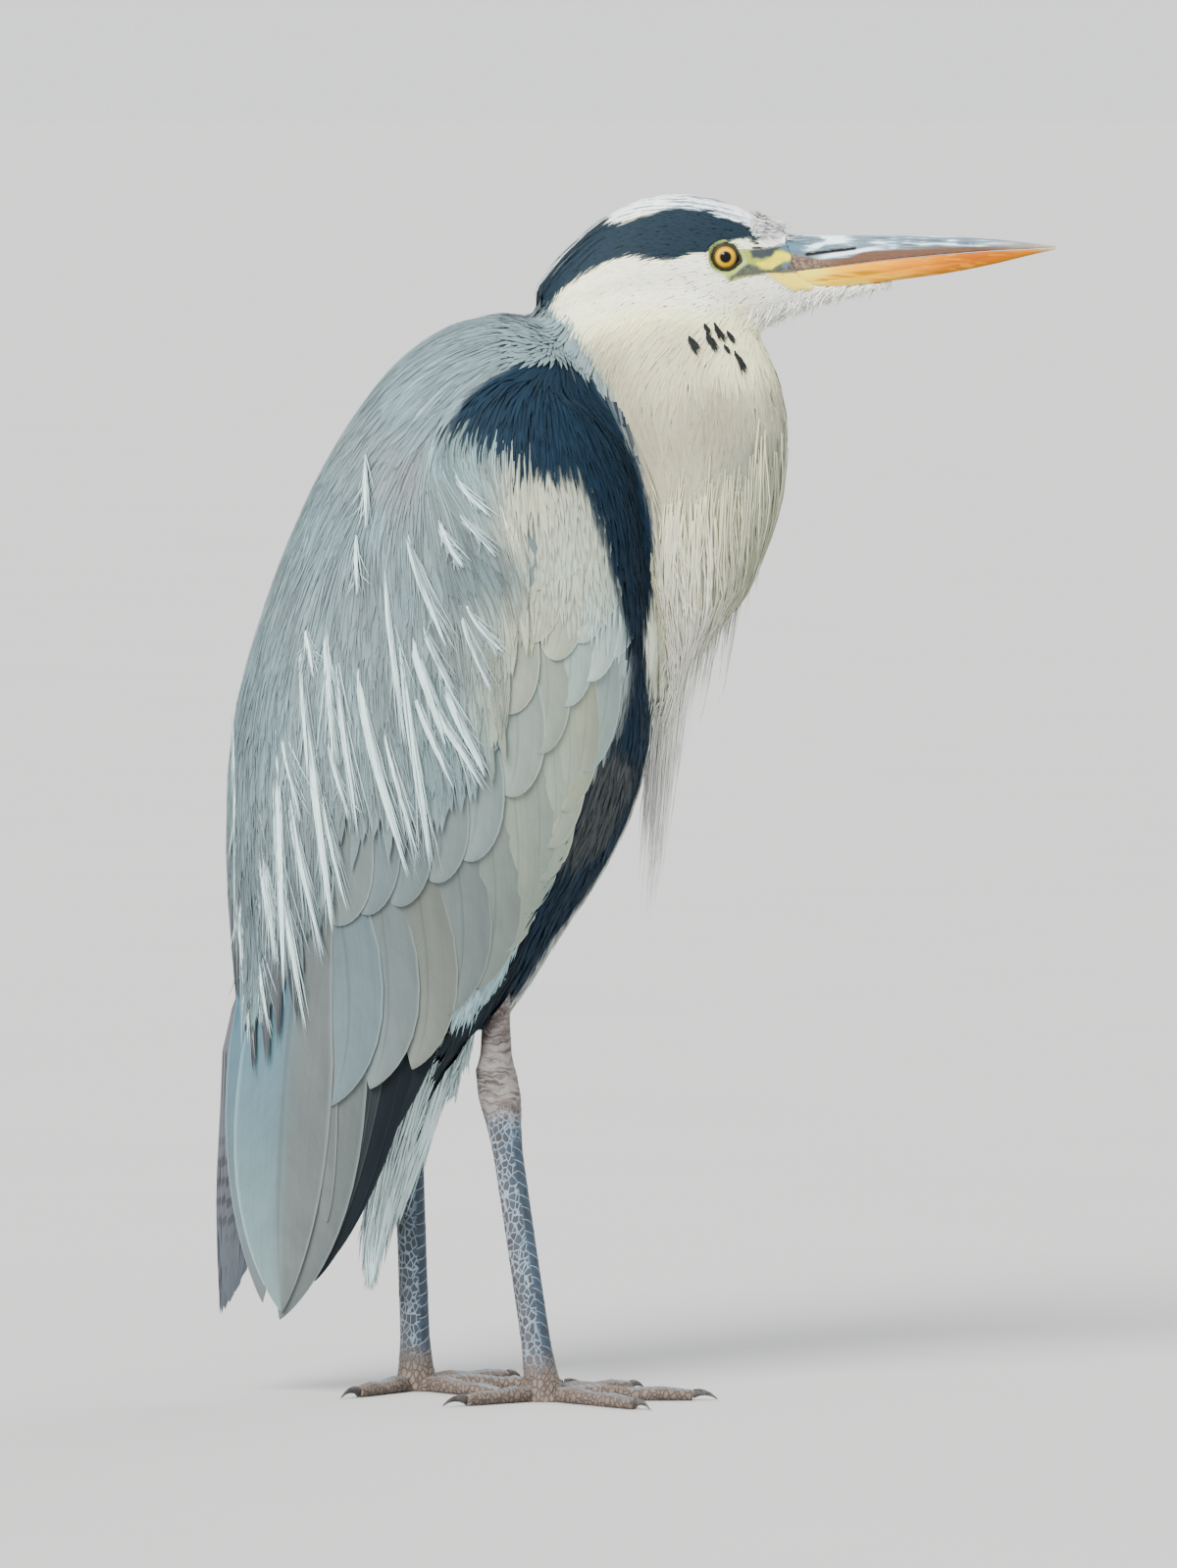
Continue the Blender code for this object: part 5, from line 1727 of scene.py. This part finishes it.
def makePlumes():
    broad, fine = Coat("scapularPlumes", plumePlan), Coat("scapularStrands", strandPlan)
    look = plumePlan["look"]
    white, grey = tonePaint("plume"), tonePaint("paleGrey")
    for side in (-1, 1):
        for x, z, tipX, tipZ, width in plumes:
            shift = dice.normal(size=2) * (1.0, 3.0) * (0.3 if side < 0 else 1)
            count = int(3 + width * plumePlan["strips"])
            for n in range(count):
                spread = (n / (count - 1) - 0.5) * width * plumePlan["spread"]
                outer = abs(spread) / width
                reach = 1 - 0.5 * dice.random() * outer
                endX, endZ = x + (tipX - x) * reach, z + (tipZ - z) * reach
                late = (tipZ - z) * 0.5 * dice.random() * outer
                spine = [(x + shift[0] + spread * 0.2, z + shift[1] + late),
                         (x * 0.72 + endX * 0.28 - 1 + spread * 1.1, z * 0.6 + endZ * 0.4),
                         (x * 0.35 + endX * 0.65 + spread, z * 0.3 + endZ * 0.7),
                         (endX + shift[0] + spread * 0.25 + dice.normal() * 0.4, endZ + shift[1])]
                tone = white * (1 - 0.5 * outer * dice.random() - 0.05 * dice.random())
                # each strip darker at its root, as painted shade where it leaves the mantle
                vane(broad, side, spine, 0.46 + 0.15 * width, look, [tone * 0.85, tone] * 2,
                     plumePlan["level"] * mm * dice.random())
            for n in range(strandPlan["each"]):
                start = dice.random() * 0.7
                rootX, rootZ = x + (tipX - x) * start, z + (tipZ - z) * start
                fan = dice.normal() * strandPlan["fan"]
                reach = (0.35 + dice.random() * 0.65) * (1.05 - start)
                endX, endZ = rootX + (tipX - x) * reach + fan, rootZ + (tipZ - z) * reach
                tone = grey * (0.8 + 1.4 * dice.random() ** 1.5)
                middle = ((rootX * 1.1 + endX * 0.9) / 2, (rootZ + endZ) / 2)
                spine = [(rootX + fan * 0.1, rootZ), middle, (endX, endZ)]
                vane(fine, side, spine, strandPlan["width"] * (0.6 + dice.random()), look, [tone] * 4,
                     0.8 * mm * (dice.random() - 0.45))
    broad.build("plume", "plumage_white")
    fine.build("plume", "plumage_grey")


tailPlan = {
    "stations": 12, "columns": 9, "thickness": 0.0004, "camber": 0.05, "crowd": 1.5,
    "top": 0.233, "middle": -0.1835, "reach": (0.0145, 0.0185), "spread": 74.0, "width": 0.019,
    "tips": (0.0390, 0.0398, 0.0422, 0.0458, 0.051, 0.058),  # height of each tip, from the middle outwards
}


def makeTail():
    coat = Coat("tailFeathers", tailPlan)
    top, count = tailPlan["top"], len(tailPlan["tips"])
    half = 0.5 * tailPlan["width"] * vaneShape("round", coat.shares)
    for side in (-1, 1):
        for k, tipZ in enumerate(tailPlan["tips"]):
            turn = math.radians(tailPlan["spread"] * (k + 0.35) / count) * side
            z = top + (tipZ - top) * coat.marks
            taper = 0.72 + 0.28 * smoothstep(0.17, 0.08, z)
            tuck = 0.016 * smoothstep(0.165, 0.235, z)
            out = unit(np.array((-math.cos(turn), math.sin(turn) * 1.15, 0.0)))
            line = np.c_[tailPlan["middle"] - tailPlan["reach"][0] * math.cos(turn) * taper + tuck,
                         tailPlan["reach"][1] * math.sin(turn) * taper, z]
            line = line + out * (count - k) * 0.00035  # the outer feathers lie under the inner ones
            tone = tonePaint("tail") * (0.9 + 0.2 * dice.random())
            root = tonePaint("tailRoot") * (0.9 + 0.2 * dice.random())
            tops = np.repeat(out[None], len(coat.shares), axis=0)
            coat.addOne(line, np.cross((0.0, 0.0, -1.0), out), tops, half,
                        (root, tone * 0.9, root * 1.1, tone), top - z[-1])
    coat.build("tail", "plumage_grey", grid=4)


tuft = {
    "stations": 7, "thickness": 0.00018, "count": 2600, "depth": 10.0, "width": 1.5,
    # back and front edge of each lock in side view, root first, in millimetres, and its share of the feathers
    "locks": [
        ([(-98, 186), (-124, 130), (-134, 88), (-128, 52)],
         [(-86, 186), (-97, 142), (-112, 104), (-127, 56)], 0.62),
        ([(-88, 186), (-102, 142), (-113, 112), (-119, 82)],
         [(-80, 186), (-90, 150), (-97, 124), (-116, 84)], 0.30),
        ([(-78, 190), (-84, 170), (-88, 152), (-91, 142)],
         [(-74, 190), (-78, 172), (-84, 156), (-89, 144)], 0.08),
    ],
}


def makeUndertail():
    coat = Coat("undertailTuft", tuft, free=True)
    steps = np.linspace(0, 1, 21)
    for back, front, part in tuft["locks"]:
        back, front = np.array(back, float), np.array(front, float)
        for n in range(int(tuft["count"] * part)):
            share = dice.random()
            side = dice.random() * 2 - 1
            whole = curve(back + (front - back) * share, steps)
            start = 0.8 * dice.random() ** 1.2
            fall = start + min(1.0 - start, 0.2 + 0.25 * dice.random()) * coat.marks
            drift = dice.normal(size=2) * (1.6, 2.0)
            x, z = (np.interp(fall, steps, whole[:, k]) + drift[k] * coat.marks for k in (0, 1))
            deep = tuft["depth"] * np.sqrt(np.clip(1 - fall**2, 0.01, 1)) * (1 - 0.5 * abs(share - 0.5))
            facing = np.array(((share - 0.5) * 0.8, 1.0 if side > 0 else -1.0, 0.0))
            width = tuft["width"] * (0.6 + 0.8 * dice.random())
            mottle = cloud(x[3:4], z[3:4], 5.0, 16.0, 6)[0] - 0.5
            # painted light and shade: the tuft set lighter than its tone, lighter on strands further from the
            # midline and darker towards the front of each lock, with a random mottle; each strand's root
            # darker still
            shade = 1.10 + 0.2 * abs(side) - 0.30 * share + 0.45 * mottle
            tone = tonePaint("tuft") * shade * (0.9 + 0.2 * dice.random())
            coat.hang(np.c_[x, side * deep, z] * mm, facing, width, tone * 0.9, tone, 0.03)
    coat.build("plume", "plumage_white")


fringe = {
    "stations": 6, "thickness": 0.00018, "camber": 0.1, "count": 420, "darkEach": 14,
    "look": {"shape": "lance", "sink": -0.0005, "lift": 0.0006, "risePower": 1.0},
    # roots and tips in side view along the lower edge of the coverts, in millimetres
    "roots": [(-40, 262), (-50, 244), (-60, 226), (-72, 212), (-84, 204)],
    "tips": [(-50, 236), (-60, 214), (-70, 194), (-80, 181), (-92, 176)],
    # dark feather ends behind the plumes, partly painted shade there: root, tip and width
    "darkEnds": [(-188, 246, -183, 163, 6), (-179, 240, -176, 166, 6), (-172, 236, -171, 178, 5),
                 (-184, 230, -187, 182, 5), (-166, 232, -162, 188, 5), (-192, 236, -191, 196, 4)],
}


def makeFringes():
    coat = Coat("wingFringes", fringe)
    ends = [np.array(fringe[name], float) for name in ("roots", "tips")]
    places = np.arange(len(ends[0]))
    for side in (-1, 1):
        for n in range(fringe["count"]):
            share = dice.random() * (len(places) - 1)
            root, tip = (np.array([np.interp(share, places, end[:, k]) for k in (0, 1)]) for end in ends)
            root = root + (tip - root) * dice.random() * 0.5
            tip = tip + dice.normal(size=2) * (1.5, 3.0) + (root - tip) * dice.random() * 0.4
            tone = tonePaint("fringe") * (0.65 + 0.6 * dice.random())
            spine = [root, (root + tip) / 2 + (1.2, 0), tip]
            vane(coat, side, spine, 0.9 + 0.8 * dice.random(), fringe["look"], [tone] * 4,
                 -0.5 * mm * dice.random())
        for x, z, tipX, tipZ, width in fringe["darkEnds"]:
            for n in range(fringe["darkEach"]):
                shift = dice.normal(size=2) * (width * 0.22, 4)
                tone = tonePaint("darkEnd") * (0.6 + 0.7 * dice.random())
                spine = [(x + shift[0], z + shift[1]), ((x + tipX) / 2 + shift[0] * 1.3, (z + tipZ) / 2),
                         (tipX + shift[0] * 0.3, tipZ + shift[1])]
                vane(coat, side, spine, width * 0.45, plumePlan["look"], (tone, tone, tone, tone * 0.8),
                     -0.6 * mm * dice.random())
    coat.build("plume", "plumage_grey")


def makeClaws():
    nodes = [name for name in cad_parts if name.startswith("claw")]
    claws = copyOf(nodes, "claws")
    remesh(claws, claw["grain"], 4)
    claws.data.materials.clear()
    claws.data.materials.append(clawPaint())
    claws.data.shade_smooth()
    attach(claws, "root")
    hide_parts(*nodes)
    print("claws set")


breast = {
    "stations": 9, "thickness": 0.00019, "count": 1150, "width": 1.5, "drift": (2.2, 13),
    # heights, and at each the half width of the bunch, its middle and how far it reaches fore and aft
    "heights": [300, 340, 380, 420, 460],
    "halfWidths": [4, 10, 20, 27, 30],
    "middles": [11, 15, 24, 32, 36],
    "reaches": ([300, 340, 460], [14, 20, 34]),
    # root, bend and tip of the guides across the breast, from the back edge to the front one
    "guides": [
        [(-1, 432), (1, 400), (-3, 374)], [(2, 402), (4, 362), (2, 330)],
        [(10, 410), (9, 358), (5, 292)], [(18, 425), (15, 350), (7, 249)],
        [(26, 432), (22, 360), (9, 262)], [(36, 436), (30, 372), (17, 320)],
        [(45, 440), (38, 390), (31, 356)], [(54, 446), (48, 402), (40, 366)],
        [(61, 456), (57, 425), (51, 398)],
    ],
}


def makeBreastPlumes():
    coat = Coat("breastPlumes", breast, free=True)
    guides = np.array(breast["guides"], float)
    for n in range(breast["count"]):
        share = dice.random() ** 1.4 * (len(guides) - 1)
        k = int(share)
        line = guides[k] + (guides[k + 1] - guides[k]) * (share - k)
        reach = 0.64 + 0.42 * dice.random() ** 0.45
        shift = dice.normal(size=2) * breast["drift"]
        line = line[0] + (line - line[0]) * reach + shift * (0.5 + 0.5 * np.arange(3)[:, None] / 2)
        y = (1 - dice.random() ** 1.6) * (1 if dice.random() > 0.5 else -1)
        x, z = curve([line[0], line[1] + (1.5 * dice.normal(), 0), line[2]], coat.marks).T
        halfWidth = np.interp(z, breast["heights"], breast["halfWidths"])
        middleX = np.interp(z, breast["heights"], breast["middles"])
        ahead = (x - middleX) / np.interp(z, *breast["reaches"])
        around = np.sqrt(np.clip(1 - ahead**2, 0.04, 1))
        path = np.c_[x, y * halfWidth * around * (1.08 - 0.45 * coat.marks), z] * mm
        path = holdOff(path, 0.0010 + 0.0035 * coat.marks * dice.random())
        width = breast["width"] * (0.4 + 0.7 * dice.random())
        tone = softTones(neckTones, line[:1, 0], line[:1, 1])[0] * 0.72 + np.array(tones["offWhite"]) * 0.42
        tone = pigment(tone) * (0.82 + 0.42 * dice.random())
        pale = tonePaint("plumeEnd") * (0.88 + 0.2 * dice.random())
        end = tone + (pale - tone) * smoothstep(380, 320, line[2, 1])
        # the root a little darker than the rest, as painted shade where the plume leaves the breast
        coat.hang(path, np.array((0.35, np.sign(y), 0.1)), width, tone * 0.97, end, 0.08)
    coat.build("plume", "plumage_white")


def holdOff(path, gap):
    # keeps a hanging plume outside the form by the given gap
    for k in range(len(path)):
        spot, top, _, _ = form.tree.find_nearest(Vector(path[k]))
        if (Vector(path[k]) - spot).dot(top) < gap[k]:
            path[k] = np.array(spot + top * gap[k])
    return path


makeCamera()
makeStudio()
hull = makeHull("coatHull")
taperBreast(hull)
form = Form(hull)
flank = Flank(form)
bpy.data.objects.remove(hull)
hull = makeHull("faceHull")
faceForm = Form(hull)
bpy.data.objects.remove(hull)
print("form ready", len(form.faces))
skin = makeSkin()
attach(skin, "root")
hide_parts("trunk", "neck_upper", "neck_lower", "head", *fleshNodes["legs"])
paints = {kind: featherPaint(kind) for kind in featherLooks}
for name in ("bodyDown", "mantleCoat", "mantleHair", "shoulderCoat", "lesserCoat", "bellyCoat", "neckCoat"):
    layTract(name)
makeWingCoat()
makePlumes()
layTract("faceCoat")
makeLooseTufts()
makeThroatMarks()
makeNapeHairs()
makeEyes()
makeBill()
makeTail()
makeUndertail()
makeBreastPlumes()
makeFringes()
makeClaws()
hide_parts("wing_right", "wing_left")
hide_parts("tail")
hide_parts("undertail")
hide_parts("breast_plumes")
